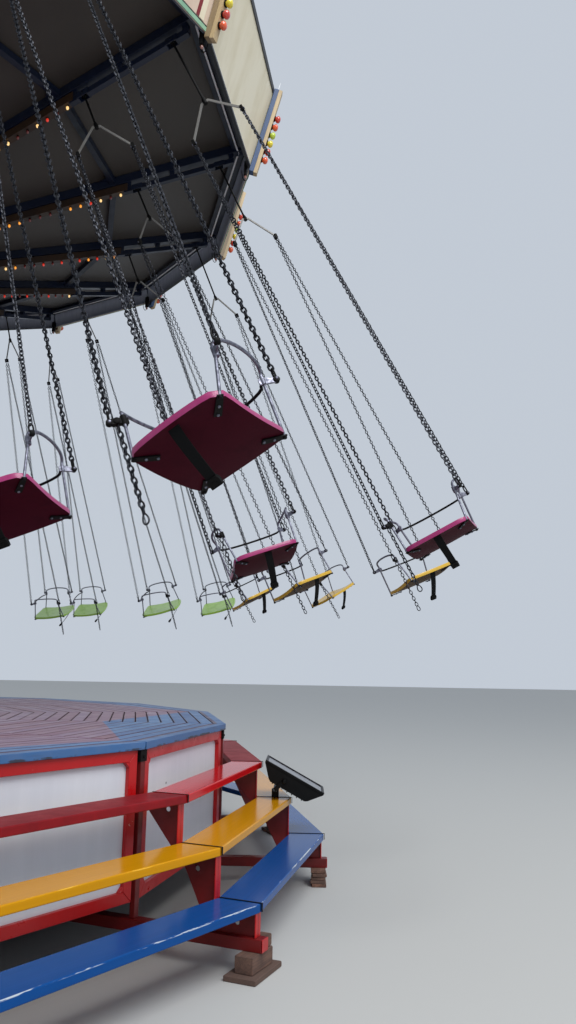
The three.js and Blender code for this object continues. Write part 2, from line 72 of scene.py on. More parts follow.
# The iron on a corner of the deck and the bearer below it, in from the corner and down from the top.
CORNER_IRON = {"inner": 0.060, "outer": 0.012, "half": 0.032, "bottom": 0.110, "top": 0.004}
BEARER = {"inner": 0.052, "outer": 0.026, "half": 0.016, "bottom": 0.150, "top": 0.108}
TREAD_THICK = 0.045
STEPS = {
    "red": {"top": 0.840, "inner": 4.100, "outer": 4.330},
    "yellow": {"top": 0.590, "inner": 4.300, "outer": 4.550},
    "blue": {"top": 0.340, "inner": 4.540, "outer": 4.790},
}
TREAD_MITRE = 0.010
MITRE_IRON = {"width": 0.009, "thick": 0.003, "lap": 0.040}

# Under-frame and skirt.
FOOT_BEAM = {"bottom": 0.112, "top": 0.175, "width": 0.075, "inner": 2.850, "outer": 4.810}
BEAM_CAP = 0.006
RING_RAIL = {"inner": 2.850, "outer": 2.930, "bottom": 0.175, "top": 0.270}
WEB = {"plate": 0.012, "flange": 0.060, "flange_thick": 0.008}
WEB_HEEL = 0.040
WEB_STRAP = 0.040
WEB_BACK = 0.048
WEB_LEDGE = 0.020
WEB_LIFT = 0.015
WEB_HOLES = ((0.082, 0.037), (0.124, 0.075), (0.120, 0.060))  # behind each riser, below each step
WEB_HOLE_RADIUS = 0.014
RISER_CLEAR = 0.006
LAST_RISER_IN = 0.016
POST = {"inner": 4.002, "outer": 4.035, "width": 0.045}
SKIRT_RADIUS = 4.030
SKIRT = {"thick": 0.028, "rail": 0.062, "to_corner": 0.040, "gusset": 0.030, "bottom": 0.262}
PACKING_BOARD = {"inner": 4.66, "outer": 4.84, "width": 0.32}
PACKING_BLOCK = {"inner": 4.704, "outer": 4.808, "width": 0.25}
PACKING_STACKS = ([0.022] * 5, [0.028, 0.084])  # at even and odd corners, before they are fitted
INNER_PACKING = {"inner": 2.84, "outer": 3.00, "width": 0.16}
CHOCK = {"inner": 4.735, "outer": 4.800, "side": 0.115, "height": 0.058}
FLOODLIGHT = {
    "radius": 4.577, "rise": 0.170, "tilt": 0.49, "face": 0.240, "back": 0.160, "half": 0.170,
    "depth": 0.120, "rim": 0.018, "ribs": 7, "rib_pitch": 0.040,
}

# Canopy. The arms rise outwards; heights on an arm are below its centre line.
ARM_SLOPE = 0.36
ARM_HEIGHT_AT_2M = 5.340
ARM_BOX = 0.076
ARM_START = 0.390
LOWER_RAIL = {"size": 0.046, "bottom": 0.126, "outer": 3.960}
LIGHT_STRIP = {"inner": 0.560, "outer": 3.040, "width": 0.060, "top": 0.046, "bottom": 0.112}
MID_RING = {"radius": 2.920, "size": 0.052}
RIM_RING = {"radius": 4.030, "size": 0.052}
HUB = {"radius": 0.410, "bore": 0.095, "above": 0.090, "below": 0.240}
ROOF = {"inner": 0.430, "outer": 4.152, "thick": 0.003, "sag": 0.010}
BOARD = {"bottom_radius": 4.110, "bottom": 5.880, "top_radius": 4.310, "top": 6.650, "thick": 0.022}
LINING = {"foot": (4.004, 5.884), "head": (3.982, 6.042), "thick": 0.003}
BULB = {"radius": 0.0125, "pitch": 0.085}
CAP = {"radius": 0.032, "pitch": 0.085}
CAP_ORDER = (0, 1, 2, 3, 0, 1)  # the colours of a strip's caps, from the lowest
FIRST_CAP = (0.112, 0.095, 0.095, 0.068)  # the lowest cap's height at four corners in turn
CORNER_STRIP = {"rib": 0.036, "deep": 0.068}

# Chairs. A chair hangs from its pivot along its own -Z; +X is outwards and the rider faces -Y.
CHAIRS = {
    "outer": {"rod": 0.585, "swing": math.radians(26.6)},
    "inner": {"rod": 0.305, "swing": math.radians(23.04)},
}
# Degrees of swing beyond the ring's, of lean to the back and of twist about the rod, and for some the
# degrees that the front of the seat is tipped up.
CHAIR_POSES = {
    "inner_01": (0.4, 1.5, 34, 5), "inner_02": (1.9, 4.4, 8, 14), "inner_03": (1.0, 2.8, 37),
    "inner_04": (0.1, 1.1, 14), "inner_15": (-0.6, -1.3, 30), "inner_16": (-0.1, 0.8, 30),
    "outer_01": (-1.9, -4.5, 18), "outer_02": (1.0, 5.6, 15, 11), "outer_03": (0.0, 3.5, 35),
    "outer_04": (0.0, 2.9, 16), "outer_15": (0.2, 0.5, 11), "outer_16": (0.2, 2.2, -1.5),
}
MEAN_POSE = (0.0, 1.6, 22)
NEAR_ARMS = ("15", "16")  # the arms whose chairs hang nearest to the viewer
FORK = {"half": 0.200, "drop": 0.220, "shoulder": 0.026, "bar": 0.017, "thick": 0.009}
ROD_RADIUS = 0.008
SEAT_DROP = 3.470  # from the fork to the seat
HOOK_HEIGHT = {-1: 0.189, 1: 0.203}  # of the front and the back clamps over the seat
CLAMP = {"x": 0.207, "y": 0.146, "reach": 0.036, "plate": 0.007, "height": 0.028}
CORNER_ROD = {"x": 0.187, "y": 0.188, "radius": 0.006}
CORNER_STRAP = {"width": 0.028, "thick": 0.005, "length": 0.086}
ARM_BAR = {"radius": 0.0068, "lift": 0.046, "bulge": 0.030}
LINK = {"pitch": 0.0235, "wire": 0.0078, "width": 0.0250}
SHACKLE = 0.044
SAFETY_CHAIN = 0.360
PAN = {"half": 0.199, "depth": 0.206, "thick": 0.024, "sag": 0.018, "round": 0.048, "bow": 0.020}
PAN_LIFT = {-1: 0.026, 1: 0.015}  # of the pan's front and back edges over the seat's plane

# Camera: place in metres, turn and pitch in degrees, roll in radians and lens in millimetres.
VIEW = {"place": (4.623, -6.399, 1.55), "turn": 1.2, "pitch": 10.43, "roll": 0.017, "lens": 29.19}


def corner(number):
    """The angle of one of the sixteen corners of the platform."""
    return number * SIDE_ANGLE


def turned(angle):
    """A frame turned about the mast, so that +X points outwards at that angle."""
    return Matrix.Rotation(angle, 4, "Z")


def arm_height(radius):
    """The height of an arm's centre line."""
    return ARM_HEIGHT_AT_2M + ARM_SLOPE * (radius - 2.0)


def flat(radius):
    """The distance from the mast to the middle of a side whose corners lie at a radius."""
    return radius * math.cos(HALF_SIDE)


class Stock:
    """The faces of one piece. Each point keeps its place in its own board or bar, as x along the grain,
    y in from the outer face and z below the top face, with a tone and a paint zone."""

    def __init__(self):
        self.points, self.faces, self.finishes = [], [], []
        self.grain, self.tones, self.zones = [], [], []

    def put(self, shape, place=None, finish=0, tone=None, zone=None, grain=None):
        """Adds a shape, which is a list of points and a list of faces, moved by a frame."""
        points, faces = shape
        start = len(self.points)
        shift = rng.uniform(0, 60)
        tone = rng.random() if tone is None else tone
        for point in points:
            x, y, z = grain(point) if grain else point
            self.grain += (x + shift, y, z)
            self.zones.append(zone(point) if zone else 0.0)
            self.points.append(place @ point if place else point)
        self.tones += [tone] * len(points)
        self.faces += [tuple(start + index for index in face) for face in faces]
        self.finishes += [finish] * len(faces)

    def mesh(self, name, finishes, smooth=35):
        """Makes the mesh, with its attributes and materials."""
        mesh = bpy.data.meshes.new(name)
        mesh.from_pydata(self.points, [], self.faces)
        for material in finishes:
            mesh.materials.append(material)
        mesh.polygons.foreach_set("material_index", self.finishes)
        mesh.attributes.new("grain", "FLOAT_VECTOR", "POINT").data.foreach_set("vector", self.grain)
        mesh.attributes.new("tone", "FLOAT", "POINT").data.foreach_set("value", self.tones)
        mesh.attributes.new("zone", "FLOAT", "POINT").data.foreach_set("value", self.zones)
        mesh.shade_smooth()
        mesh.set_sharp_from_angle(angle=math.radians(smooth))
        return mesh


def piece(name, mesh, body, place=None, replaces=(), slot=None, arris=0.0, steps=1):
    """Puts a mesh in the scene as a piece that rides on a body, with its arrises rounded."""
    made = bpy.data.objects.new(name, mesh)
    bpy.context.scene.collection.objects.link(made)
    if place:
        made.matrix_world = place
    if arris:
        rounding = made.modifiers.new("arris", "BEVEL")
        rounding.width = arris
        rounding.segments = steps
        rounding.limit_method = "ANGLE"
        rounding.angle_limit = math.radians(40)
        rounding.harden_normals = True
    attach(made, body)
    if replaces:
        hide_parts(*replaces)
    return made


def prism(outline, low, high):
    """A solid between two heights over a flat outline, which is given counterclockwise."""
    count = len(outline)
    points = [Vector((x, y, z)) for z in (low, high) for x, y in outline]
    faces = [tuple(reversed(range(count))), tuple(range(count, 2 * count))]
    for index in range(count):
        after = (index + 1) % count
        faces.append((index, after, count + after, count + index))
    return points, faces


def box(low, high):
    """A box between two corners."""
    outline = [(low[0], low[1]), (high[0], low[1]), (high[0], high[1]), (low[0], high[1])]
    return prism(outline, low[2], high[2])


def along(start, end, up=UP):
    """A frame at a start point, with +X towards the end and +Z as near to up as it can be."""
    x = (end - start).normalized()
    y = up.cross(x).normalized()
    return frame_of(x, y, x.cross(y), start)


def frame_of(x, y, z, origin):
    """A frame from its three axes and its origin."""
    return Matrix((
        (x.x, y.x, z.x, origin.x),
        (x.y, y.y, z.y, origin.y),
        (x.z, y.z, z.z, origin.z),
        (0, 0, 0, 1),
    ))


def bar(start, end, width, height, up=UP):
    """A rectangular bar from one point to another, and the frame that it is drawn in."""
    length = (end - start).length
    return box((0, -width / 2, -height / 2), (length, width / 2, height / 2)), along(start, end, up)


def tube(path, radius, sides=8, loop=False):
    """A round bar along a path of points, closed on itself or with flat ends."""
    count = len(path)
    points, faces = [], []
    tangent = (path[1] - path[-1 if loop else 0]).normalized()
    normal = tangent.orthogonal().normalized()
    for index, centre in enumerate(path):
        before = path[index - 1] if loop or index else centre
        after = path[(index + 1) % count] if loop or index < count - 1 else centre
        heading = (after - before).normalized()
        normal = tangent.rotation_difference(heading) @ normal
        tangent = heading
        side = tangent.cross(normal)
        for step in range(sides):
            angle = 2 * math.pi * step / sides
            points.append(centre + radius * (math.cos(angle) * normal + math.sin(angle) * side))
    for index in range(count if loop else count - 1):
        here, there = index * sides, ((index + 1) % count) * sides
        for step in range(sides):
            after = (step + 1) % sides
            faces.append((here + step, here + after, there + after, there + step))
    if not loop:
        faces.append(tuple(reversed(range(sides))))
        faces.append(tuple((count - 1) * sides + step for step in range(sides)))
    return points, faces


def ribbon(path, across, widths, thick):
    """A flat strap along a path, between a first and a last width along one direction."""
    points, faces = [], []
    for index, centre in enumerate(path):
        width = widths[0] + (widths[1] - widths[0]) * index / (len(path) - 1)
        before = path[max(index - 1, 0)]
        after = path[min(index + 1, len(path) - 1)]
        face = (after - before).normalized().cross(across).normalized()
        for wide, deep in ((-1, -1), (1, -1), (1, 1), (-1, 1)):
            points.append(centre + across * (wide * width / 2) + face * (deep * thick / 2))
    for index in range(len(path) - 1):
        here, there = 4 * index, 4 * index + 4
        for step in range(4):
            after = (step + 1) % 4
            faces.append((here + step, there + step, there + after, here + after))
    last = 4 * (len(path) - 1)
    faces += [(0, 1, 2, 3), (last + 3, last + 2, last + 1, last)]
    return points, faces


def lathe(profile, sides=12):
    """A round solid about Z from (radius, height) points, rising, closed by flat or pointed ends."""
    points, faces, rows = [], [], []
    for radius, height in profile:
        if radius < 1e-6:
            rows.append([len(points)])
            points.append(Vector((0, 0, height)))
            continue
        rows.append(list(range(len(points), len(points) + sides)))
        for step in range(sides):
            angle = 2 * math.pi * step / sides
            points.append(Vector((radius * math.cos(angle), radius * math.sin(angle), height)))
    for low, high in zip(rows, rows[1:]):
        for step in range(sides):
            after = (step + 1) % sides
            if len(low) == 1:
                faces.append((low[0], high[after], high[step]))
            elif len(high) == 1:
                faces.append((low[step], low[after], high[0]))
            else:
                faces.append((low[step], low[after], high[after], high[step]))
    if len(rows[0]) > 1:
        faces.append(tuple(reversed(rows[0])))
    if len(rows[-1]) > 1:
        faces.append(tuple(rows[-1]))
    return points, faces


def ring_of(profile, sides, turn=0.0):
    """A ring about Z from a closed outline of (radius, height) points, counterclockwise."""
    count = len(profile)
    points = [
        Vector((r * math.cos(turn + a), r * math.sin(turn + a), z))
        for a in (2 * math.pi * step / sides for step in range(sides))
        for r, z in profile
    ]
    faces = []
    for step in range(sides):
        here, there = step * count, ((step + 1) % sides) * count
        for index in range(count):
            after = (index + 1) % count
            faces.append((here + index, there + index, there + after, here + after))
    return points, faces


def bolt(radius, high):
    """A hexagon bolt head with a domed top, standing on the plane z = 0."""
    return lathe([(radius, 0), (radius, 0.7 * high), (0.75 * radius, high)], 6)


def standing(outline, near, far):
    """A plate drawn as (x, height) points, standing upright between two depths along Y."""
    points, faces = prism(outline, -far, -near)
    return [Vector((p.x, -p.z, p.y)) for p in points], faces


def across_plate(outline, thick):
    """A plate drawn as (radius, height) points, standing in the radial plane at angle 0."""
    return standing(outline, -thick / 2, thick / 2)


def pierced_plate(outline, holes, thick, sides=14):
    """An across_plate with round holes, which are given as (radius out, height, size)."""
    loops = [[Vector((x, y, 0)) for x, y in outline]]
    turns = [-2 * math.pi * step / sides for step in range(sides)]
    for x, y, size in holes:
        loops.append([
            Vector((x + size * math.cos(turn), y + size * math.sin(turn), 0)) for turn in turns
        ])
    flat_points = [point for loop in loops for point in loop]
    count = len(flat_points)
    faces = []
    for a, b, c in tessellate_polygon(loops):
        turn = (flat_points[b] - flat_points[a]).cross(flat_points[c] - flat_points[a]).z
        a, c = (a, c) if turn > 0 else (c, a)
        faces += [(c, b, a), (count + a, count + b, count + c)]
    start = 0
    for loop in loops:
        for index in range(len(loop)):
            here, there = start + index, start + (index + 1) % len(loop)
            faces.append((here, there, count + there, count + here))
        start += len(loop)
    return [Vector((p.x, -z, p.y)) for z in (-thick / 2, thick / 2) for p in flat_points], faces


def mitred(inner, outer, gap):
    """The outline of a board along one side, between two distances from the mast."""
    def half(distance):
        return distance * math.tan(HALF_SIDE) - gap / 2 / math.cos(HALF_SIDE)

    return [(inner, -half(inner)), (outer, -half(outer)), (outer, half(outer)), (inner, half(inner))]


def srgb(code):
    """An sRGB hex value as a linear colour."""
    channels = [int(code[place:place + 2], 16) / 255 for place in (1, 3, 5)]
    return (*[c / 12.92 if c <= 0.04045 else ((c + 0.055) / 1.055) ** 2.4 for c in channels], 1)


def add(tree, kind, links=None, out=0, **settings):
    """Adds a node and returns one of its outputs. Settings are its properties or the values of its
    inputs, and links holds outputs or values for its inputs by name or by number."""
    node = tree.nodes.new("ShaderNode" + kind)
    for name, value in settings.items():
        if name in node.bl_rna.properties:
            setattr(node, name, value)
        else:
            node.inputs[name.replace("_", " ")].default_value = value
    for name, value in (links or {}).items():
        if isinstance(value, bpy.types.NodeSocket):
            tree.links.new(value, node.inputs[name])
        else:
            node.inputs[name].default_value = value
    return node.outputs[out] if node.outputs else None


def finish(name, **settings):
    """A new material with one principled shader, and the settings that are the same all over it."""
    material = bpy.data.materials.new(name)
    material.use_nodes = True
    tree = material.node_tree
    tree.nodes.clear()
    surface = add(tree, "BsdfPrincipled", **settings)
    add(tree, "OutputMaterial", {"Surface": surface})
    return material, tree, surface.node


def feed(shader, **sockets):
    """Links outputs to the shader's inputs."""
    for name, socket in sockets.items():
        shader.id_data.links.new(socket, shader.inputs[name.replace("_", " ")])


def worn_deck_paint():
    """Floor paint rolled on softwood boards: satin, thin over the grain, walked through to grey wood.
    The rim is blue and the middle a faded mauve."""
    material, tree, shader = finish("worn_deck_paint", IOR=1.5)
    place = add(tree, "Attribute", out="Vector", attribute_name="grain")
    tone = add(tree, "Attribute", out="Fac", attribute_name="tone")
    zone = add(tree, "Attribute", out="Fac", attribute_name="zone")
    # softwood rings lie 3 to 6 mm apart and are drawn about 14 mm apart, so that they show
    rings = add(tree, "Mapping", {"Vector": place}, Scale=(2.5, 70, 20))
    streaks = add(tree, "TexNoise", {"Vector": rings}, Scale=1.0, Detail=3, Roughness=0.6)
    patches = add(tree, "TexNoise", {"Vector": place}, Scale=4.0, Detail=4, Roughness=0.65)
    rough_edge = add(tree, "Math", {0: patches, 1: 0.02}, operation="MULTIPLY")
    boundary = add(tree, "Math", {0: zone, 1: rough_edge}, operation="ADD")
    inside = add(tree, "MapRange", {"Value": boundary}, From_Min=0.008, From_Max=0.012)
    blue = add(tree, "MixRGB", {"Fac": tone}, Color1=srgb("#22548C"), Color2=srgb("#3D6FA2"))
    mauve = add(tree, "MixRGB", {"Fac": tone}, Color1=srgb("#7A4555"), Color2=srgb("#876A80"))
    paint = add(tree, "MixRGB", {"Fac": inside, "Color1": blue, "Color2": mauve})
    faded = add(tree, "MapRange", {"Value": patches}, From_Min=0.35, From_Max=0.75, To_Max=0.3)
    pale = add(tree, "MixRGB", {"Fac": faded, "Color1": paint}, Color2=srgb("#7C8299"))
    thin = add(tree, "MapRange", {"Value": streaks}, From_Min=0.60, From_Max=0.78, To_Max=0.55)
    grained = add(tree, "MixRGB", {"Fac": thin, "Color1": pale}, Color2=srgb("#4A4650"))
    # the paint is rubbed off the long edges of the boards, where dark red undercoat and dirt show
    apart = add(tree, "SeparateXYZ", {"Vector": place}, out="Y").node
    off_middle = add(tree, "Math", {0: apart.outputs["Y"], 1: 0.0445}, operation="SUBTRACT")
    to_edge = add(tree, "Math", {0: off_middle}, operation="ABSOLUTE")
    near_edge = add(tree, "MapRange", {"Value": to_edge}, From_Min=0.035, From_Max=0.043)
    on_top = add(
        tree, "MapRange", {"Value": apart.outputs["Z"]},
        From_Min=0.004, From_Max=0.012, To_Min=0.8, To_Max=0,
    )
    rubbed = add(tree, "Math", {0: near_edge, 1: on_top}, operation="MULTIPLY")
    edged = add(tree, "MixRGB", {"Fac": rubbed, "Color1": grained}, Color2=srgb("#4A1C28"))
    # low on the rim's outer face the paint is gone in patches
    low = add(tree, "MapRange", {"Value": apart.outputs["Z"]}, From_Min=0.010, From_Max=0.034, To_Max=0.5)
    torn = add(tree, "Math", {0: patches, 1: low}, operation="ADD")
    bare = add(tree, "MapRange", {"Value": torn}, From_Min=0.96, From_Max=1.01, To_Max=0.85)
    colour = add(tree, "MixRGB", {"Fac": bare, "Color1": edged}, Color2=srgb("#2C2628"))
    gloss = add(tree, "MapRange", {"Value": patches}, From_Min=0.3, From_Max=0.7, To_Min=0.32, To_Max=0.55)
    relief = add(tree, "Bump", {"Height": streaks}, Strength=0.5, Distance=0.002)
    feed(shader, Base_Color=colour, Roughness=gloss, Normal=relief)
    return material


def tread_enamel(name, fresh, worn, bare, gloss, wear):
    """Gloss enamel brushed on softwood step boards: it mirrors the sky at a low angle, shows the brush
    and the grain, and is worn to primer or wood along the outer arris, where the blue step's pale grey is
    partly painted reflection. Its dull, darker patches are partly painted shade."""
    material, tree, shader = finish(
        name, IOR=1.5, Specular_IOR_Level=0.11, Coat_Weight=0.03, Coat_Roughness=0.2, Coat_IOR=1.5,
    )
    place = add(tree, "Attribute", out="Vector", attribute_name="grain")
    tone = add(tree, "Attribute", out="Fac", attribute_name="tone")
    # brush marks and raised grain 2 to 4 mm apart, drawn about 9 mm apart so that they show
    lines = add(tree, "Mapping", {"Vector": place}, Scale=(1.6, 110, 60))
    strokes = add(tree, "TexNoise", {"Vector": lines}, Scale=1.0, Detail=3, Roughness=0.55)
    patches = add(tree, "TexNoise", {"Vector": place}, Scale=5.0, Detail=5, Roughness=0.7)
    # dull, darker paint where a board's tone is high: wear, and on the red step partly painted shade
    dull = add(tree, "MapRange", {"Value": patches}, From_Min=0.3, From_Max=0.7, To_Min=0.7)
    dull_and_painted_shade = add(tree, "Math", {0: dull, 1: tone}, operation="MULTIPLY")
    paint = add(tree, "MixRGB", {"Fac": dull_and_painted_shade}, Color1=srgb(fresh), Color2=srgb(worn))
    shade = add(tree, "MapRange", {"Value": strokes}, From_Min=0.3, From_Max=0.7, To_Min=0.92, To_Max=1.06)
    streaked = add(tree, "MixRGB", {"Fac": 1.0, "Color1": paint, "Color2": shade}, blend_type="MULTIPLY")
    apart = add(tree, "SeparateXYZ", {"Vector": place}, out="Y").node
    from_arris = add(tree, "Math", {0: apart.outputs["Y"], 1: apart.outputs["Z"]}, operation="ADD")
    edge = add(tree, "MapRange", {"Value": from_arris}, From_Min=0.003, From_Max=0.007, To_Min=1, To_Max=0)
    kept = add(tree, "Mapping", {"Vector": place}, Scale=(3.5, 40, 40))
    broken = add(tree, "TexNoise", {"Vector": kept}, Scale=1.0, Detail=4, Roughness=0.7)
    rubbed = add(tree, "MapRange", {"Value": broken}, From_Min=0.62 - wear, From_Max=0.66 - wear)
    # the pale colour along the arris is wear, and on the blue step partly painted reflection
    arris_wear_and_sheen = add(tree, "Math", {0: edge, 1: rubbed}, operation="MULTIPLY")
    colour = add(tree, "MixRGB", {"Fac": arris_wear_and_sheen, "Color1": streaked}, Color2=srgb(bare))
    rough = add(tree, "MapRange", {"Value": dull_and_painted_shade}, To_Min=gloss, To_Max=0.62)
    relief = add(tree, "Bump", {"Height": strokes}, Strength=0.1, Distance=0.0015)
    feed(shader, Base_Color=colour, Roughness=rough, Normal=relief)
    return material


def steel_enamel(name, fresh, dark, primer, chips, gloss=0.24):
    """Gloss enamel brushed on welded steel over primer: wet-looking and wavy, darker in patches by each
    piece's tone, and with chips through to pale primer."""
    material, tree, shader = finish(
        name, IOR=1.5, Specular_IOR_Level=0.35, Coat_Weight=0.15, Coat_Roughness=0.1, Coat_IOR=1.5,
    )
    place = add(tree, "TexCoord", out="Object")
    tone = add(tree, "Attribute", out="Fac", attribute_name="tone")
    patches = add(tree, "TexNoise", {"Vector": place}, Scale=9.0, Detail=5, Roughness=0.65)
    # chips 3 to 12 mm across
    flakes = add(tree, "TexNoise", {"Vector": place}, Scale=55.0, Detail=3, Roughness=0.6)
    both = add(tree, "Math", {0: patches, 1: flakes}, operation="ADD")
    half = add(tree, "Math", {0: both, 1: 0.5}, operation="MULTIPLY")
    chip = add(tree, "MapRange", {"Value": half}, From_Min=chips, From_Max=chips + 0.01)
    grime = add(tree, "MapRange", {"Value": patches}, From_Min=0.35, From_Max=0.7)
    grimed = add(tree, "Math", {0: grime, 1: tone}, operation="MULTIPLY")
    paint = add(tree, "MixRGB", {"Fac": grimed}, Color1=srgb(fresh), Color2=srgb(dark))
    colour = add(tree, "MixRGB", {"Fac": chip, "Color1": paint}, Color2=srgb(primer))
    rough = add(
        tree, "MapRange", {"Value": patches},
        From_Min=0.3, From_Max=0.7, To_Min=gloss, To_Max=gloss + 0.25,
    )
    relief = add(tree, "Bump", {"Height": half}, Strength=0.2, Distance=0.001)
    feed(shader, Base_Color=colour, Roughness=rough, Normal=relief)
    return material


def painted_ply():
    """Off-white undercoat on exterior plywood: flat and chalky, streaked by rain, with a few screw holes."""
    material, tree, shader = finish("painted_ply", IOR=1.48)
    place = add(tree, "TexCoord", out="Object")
    runs = add(tree, "Mapping", {"Vector": place}, Scale=(14, 14, 1.2))
    streaks = add(tree, "TexNoise", {"Vector": runs}, Scale=1.0, Detail=4, Roughness=0.6)
    patches = add(tree, "TexNoise", {"Vector": place}, Scale=2.2, Detail=3)
    dirt_and_painted_shade = add(tree, "MapRange", {"Value": streaks}, From_Min=0.35, From_Max=0.8, To_Max=0.14)
    base = add(tree, "MixRGB", {"Fac": patches}, Color1=srgb("#D2D8E2"), Color2=srgb("#E2E5E8"))
    dirty = add(tree, "MixRGB", {"Fac": dirt_and_painted_shade, "Color1": base}, Color2=srgb("#A9AFB6"))
    # screw holes 8 mm across, drawn up to 15 mm across, two or three to a square metre
    holes = add(tree, "TexVoronoi", {"Vector": place}, Scale=5.5, out="Distance")
    hole = add(tree, "MapRange", {"Value": holes}, From_Min=0.036, From_Max=0.044, To_Min=1, To_Max=0)
    colour = add(tree, "MixRGB", {"Fac": hole, "Color1": dirty}, Color2=srgb("#14120F"))
    rough = add(tree, "MapRange", {"Value": streaks}, To_Min=0.42, To_Max=0.65)
    relief = add(tree, "Bump", {"Height": streaks}, Strength=0.15, Distance=0.001)
    feed(shader, Base_Color=colour, Roughness=rough, Normal=relief)
    return material


def sawn_timber(name, light, dark):
    """Rough-sawn softwood left outdoors: dry, grey-brown, furred by the saw and stained in streaks."""
    material, tree, shader = finish(name, IOR=1.45, Roughness=0.88)
    place = add(tree, "Attribute", out="Vector", attribute_name="grain")
    tone = add(tree, "Attribute", out="Fac", attribute_name="tone")
    # growth rings about 6 mm apart
    lines = add(tree, "Mapping", {"Vector": place}, Scale=(6, 160, 160))
    rings = add(tree, "TexNoise", {"Vector": lines}, Scale=1.0, Detail=4, Roughness=0.6)
    stains = add(tree, "TexNoise", {"Vector": place}, Scale=14.0, Detail=4)
    mixed = add(tree, "Math", {0: rings, 1: stains}, operation="MULTIPLY")
    depth = add(tree, "MapRange", {"Value": mixed}, From_Min=0.15, From_Max=0.4)
    wood = add(tree, "MixRGB", {"Fac": depth}, Color1=srgb(dark), Color2=srgb(light))
    grey = add(tree, "MixRGB", {"Fac": tone, "Color1": wood}, Color2=srgb("#5A4840"))
    relief = add(tree, "Bump", {"Height": rings}, Strength=0.6, Distance=0.002)
    feed(shader, Base_Color=grey, Normal=relief)
    return material


def coated_canvas():
    """PVC-coated polyester canvas, dark underneath: a dull skin over a coarse weave, a little shiny."""
    material, tree, shader = finish("coated_canvas", IOR=1.5, Sheen_Weight=0.1)
    place = add(tree, "TexCoord", out="Object")
    # threads 1 mm apart, drawn 4 mm apart so that they show
    weave = add(tree, "TexWave", {"Vector": place}, Scale=80.0, Distortion=0.4, bands_direction="X")
    weft = add(tree, "TexWave", {"Vector": place}, Scale=80.0, Distortion=0.4, bands_direction="Y")
    crossed = add(tree, "Math", {0: weave, 1: weft}, operation="ADD")
    creases = add(tree, "TexNoise", {"Vector": place}, Scale=2.4, Detail=4, Roughness=0.6)
    stain = add(tree, "MapRange", {"Value": creases}, From_Min=0.3, From_Max=0.75)
    colour = add(tree, "MixRGB", {"Fac": stain}, Color1=srgb("#2E2822"), Color2=srgb("#3A342D"))
    rough = add(tree, "MapRange", {"Value": creases}, To_Min=0.38, To_Max=0.62)
    heights = add(tree, "Math", {0: crossed, 1: creases}, operation="ADD")
    relief = add(tree, "Bump", {"Height": heights}, Strength=0.18, Distance=0.002)
    feed(shader, Base_Color=colour, Roughness=rough, Normal=relief)
    return material


def board_enamel(name, light, shade, gloss=0.32):
    """Signwriter's enamel on exterior ply: smooth, even and satin, yellowed and stained by rain."""
    material, tree, shader = finish(name, IOR=1.5)
    place = add(tree, "TexCoord", out="Object")
    runs = add(tree, "Mapping", {"Vector": place}, Scale=(5, 5, 1.0))
    stains = add(tree, "TexNoise", {"Vector": runs}, Scale=1.0, Detail=5, Roughness=0.6)
    stain = add(tree, "MapRange", {"Value": stains}, From_Min=0.42, From_Max=0.72)
    colour = add(tree, "MixRGB", {"Fac": stain}, Color1=srgb(light), Color2=srgb(shade))
    rough = add(tree, "MapRange", {"Value": stains}, To_Min=gloss, To_Max=gloss + 0.2)
    relief = add(tree, "Bump", {"Height": stains}, Strength=0.06, Distance=0.001)
    feed(shader, Base_Color=colour, Roughness=rough, Normal=relief)
    return material


def board_back():
    """Blue-grey gloss undercoat on the backs of the boards: silky, streaked down by the brush, with painted sheen
    and shade.
    """
    material, tree, shader = finish("board_back", IOR=1.5, Coat_Weight=0.4, Coat_Roughness=0.2, Coat_IOR=1.5)
    place = add(tree, "Attribute", out="Vector", attribute_name="grain")
    # brush strokes about 12 mm wide, drawn down the board, between two pale blue-greys that are partly painted
    # sheen
    strokes = add(tree, "Mapping", {"Vector": place}, Scale=(40, 3, 3))
    streaks = add(tree, "TexNoise", {"Vector": strokes}, Scale=1.0, Detail=3, Roughness=0.6)
    brushed_and_painted_sheen = add(tree, "MixRGB", {"Fac": streaks}, Color1=srgb("#98A3B6"), Color2=srgb("#D0D8E2"))
    # the lowest hand's breadth is darker: painted shade
    height = add(tree, "SeparateXYZ", {"Vector": place}, out="Z")
    dirt_and_painted_shade = add(tree, "MapRange", {"Value": height}, From_Min=0.0, From_Max=0.12, To_Min=0.85, To_Max=0)
    colour = add(tree, "MixRGB", {"Fac": dirt_and_painted_shade, "Color1": brushed_and_painted_sheen}, Color2=srgb("#4C525E"))
    rough = add(tree, "MapRange", {"Value": streaks}, To_Min=0.22, To_Max=0.42)
    relief = add(tree, "Bump", {"Height": streaks}, Strength=0.1, Distance=0.001)
    feed(shader, Base_Color=colour, Roughness=rough, Normal=relief)
    return material


def zinc_plate(name, clean, stained, rough_low, rough_high):
    """Hot-dip zinc gone dull outdoors: grey metal with a mottled skin, darker in the hollows."""
    material, tree, shader = finish(name, Metallic=1.0)
    place = add(tree, "TexCoord", out="Object")
    # spangle and stain 15 mm across
    mottle = add(tree, "TexNoise", {"Vector": place}, Scale=70.0, Detail=4, Roughness=0.6)
    stain = add(tree, "MapRange", {"Value": mottle}, From_Min=0.35, From_Max=0.65)
    colour = add(tree, "MixRGB", {"Fac": stain}, Color1=srgb(clean), Color2=srgb(stained))
    rough = add(tree, "MapRange", {"Value": stain}, To_Min=rough_low, To_Max=rough_high)
    feed(shader, Base_Color=colour, Roughness=rough)
    return material


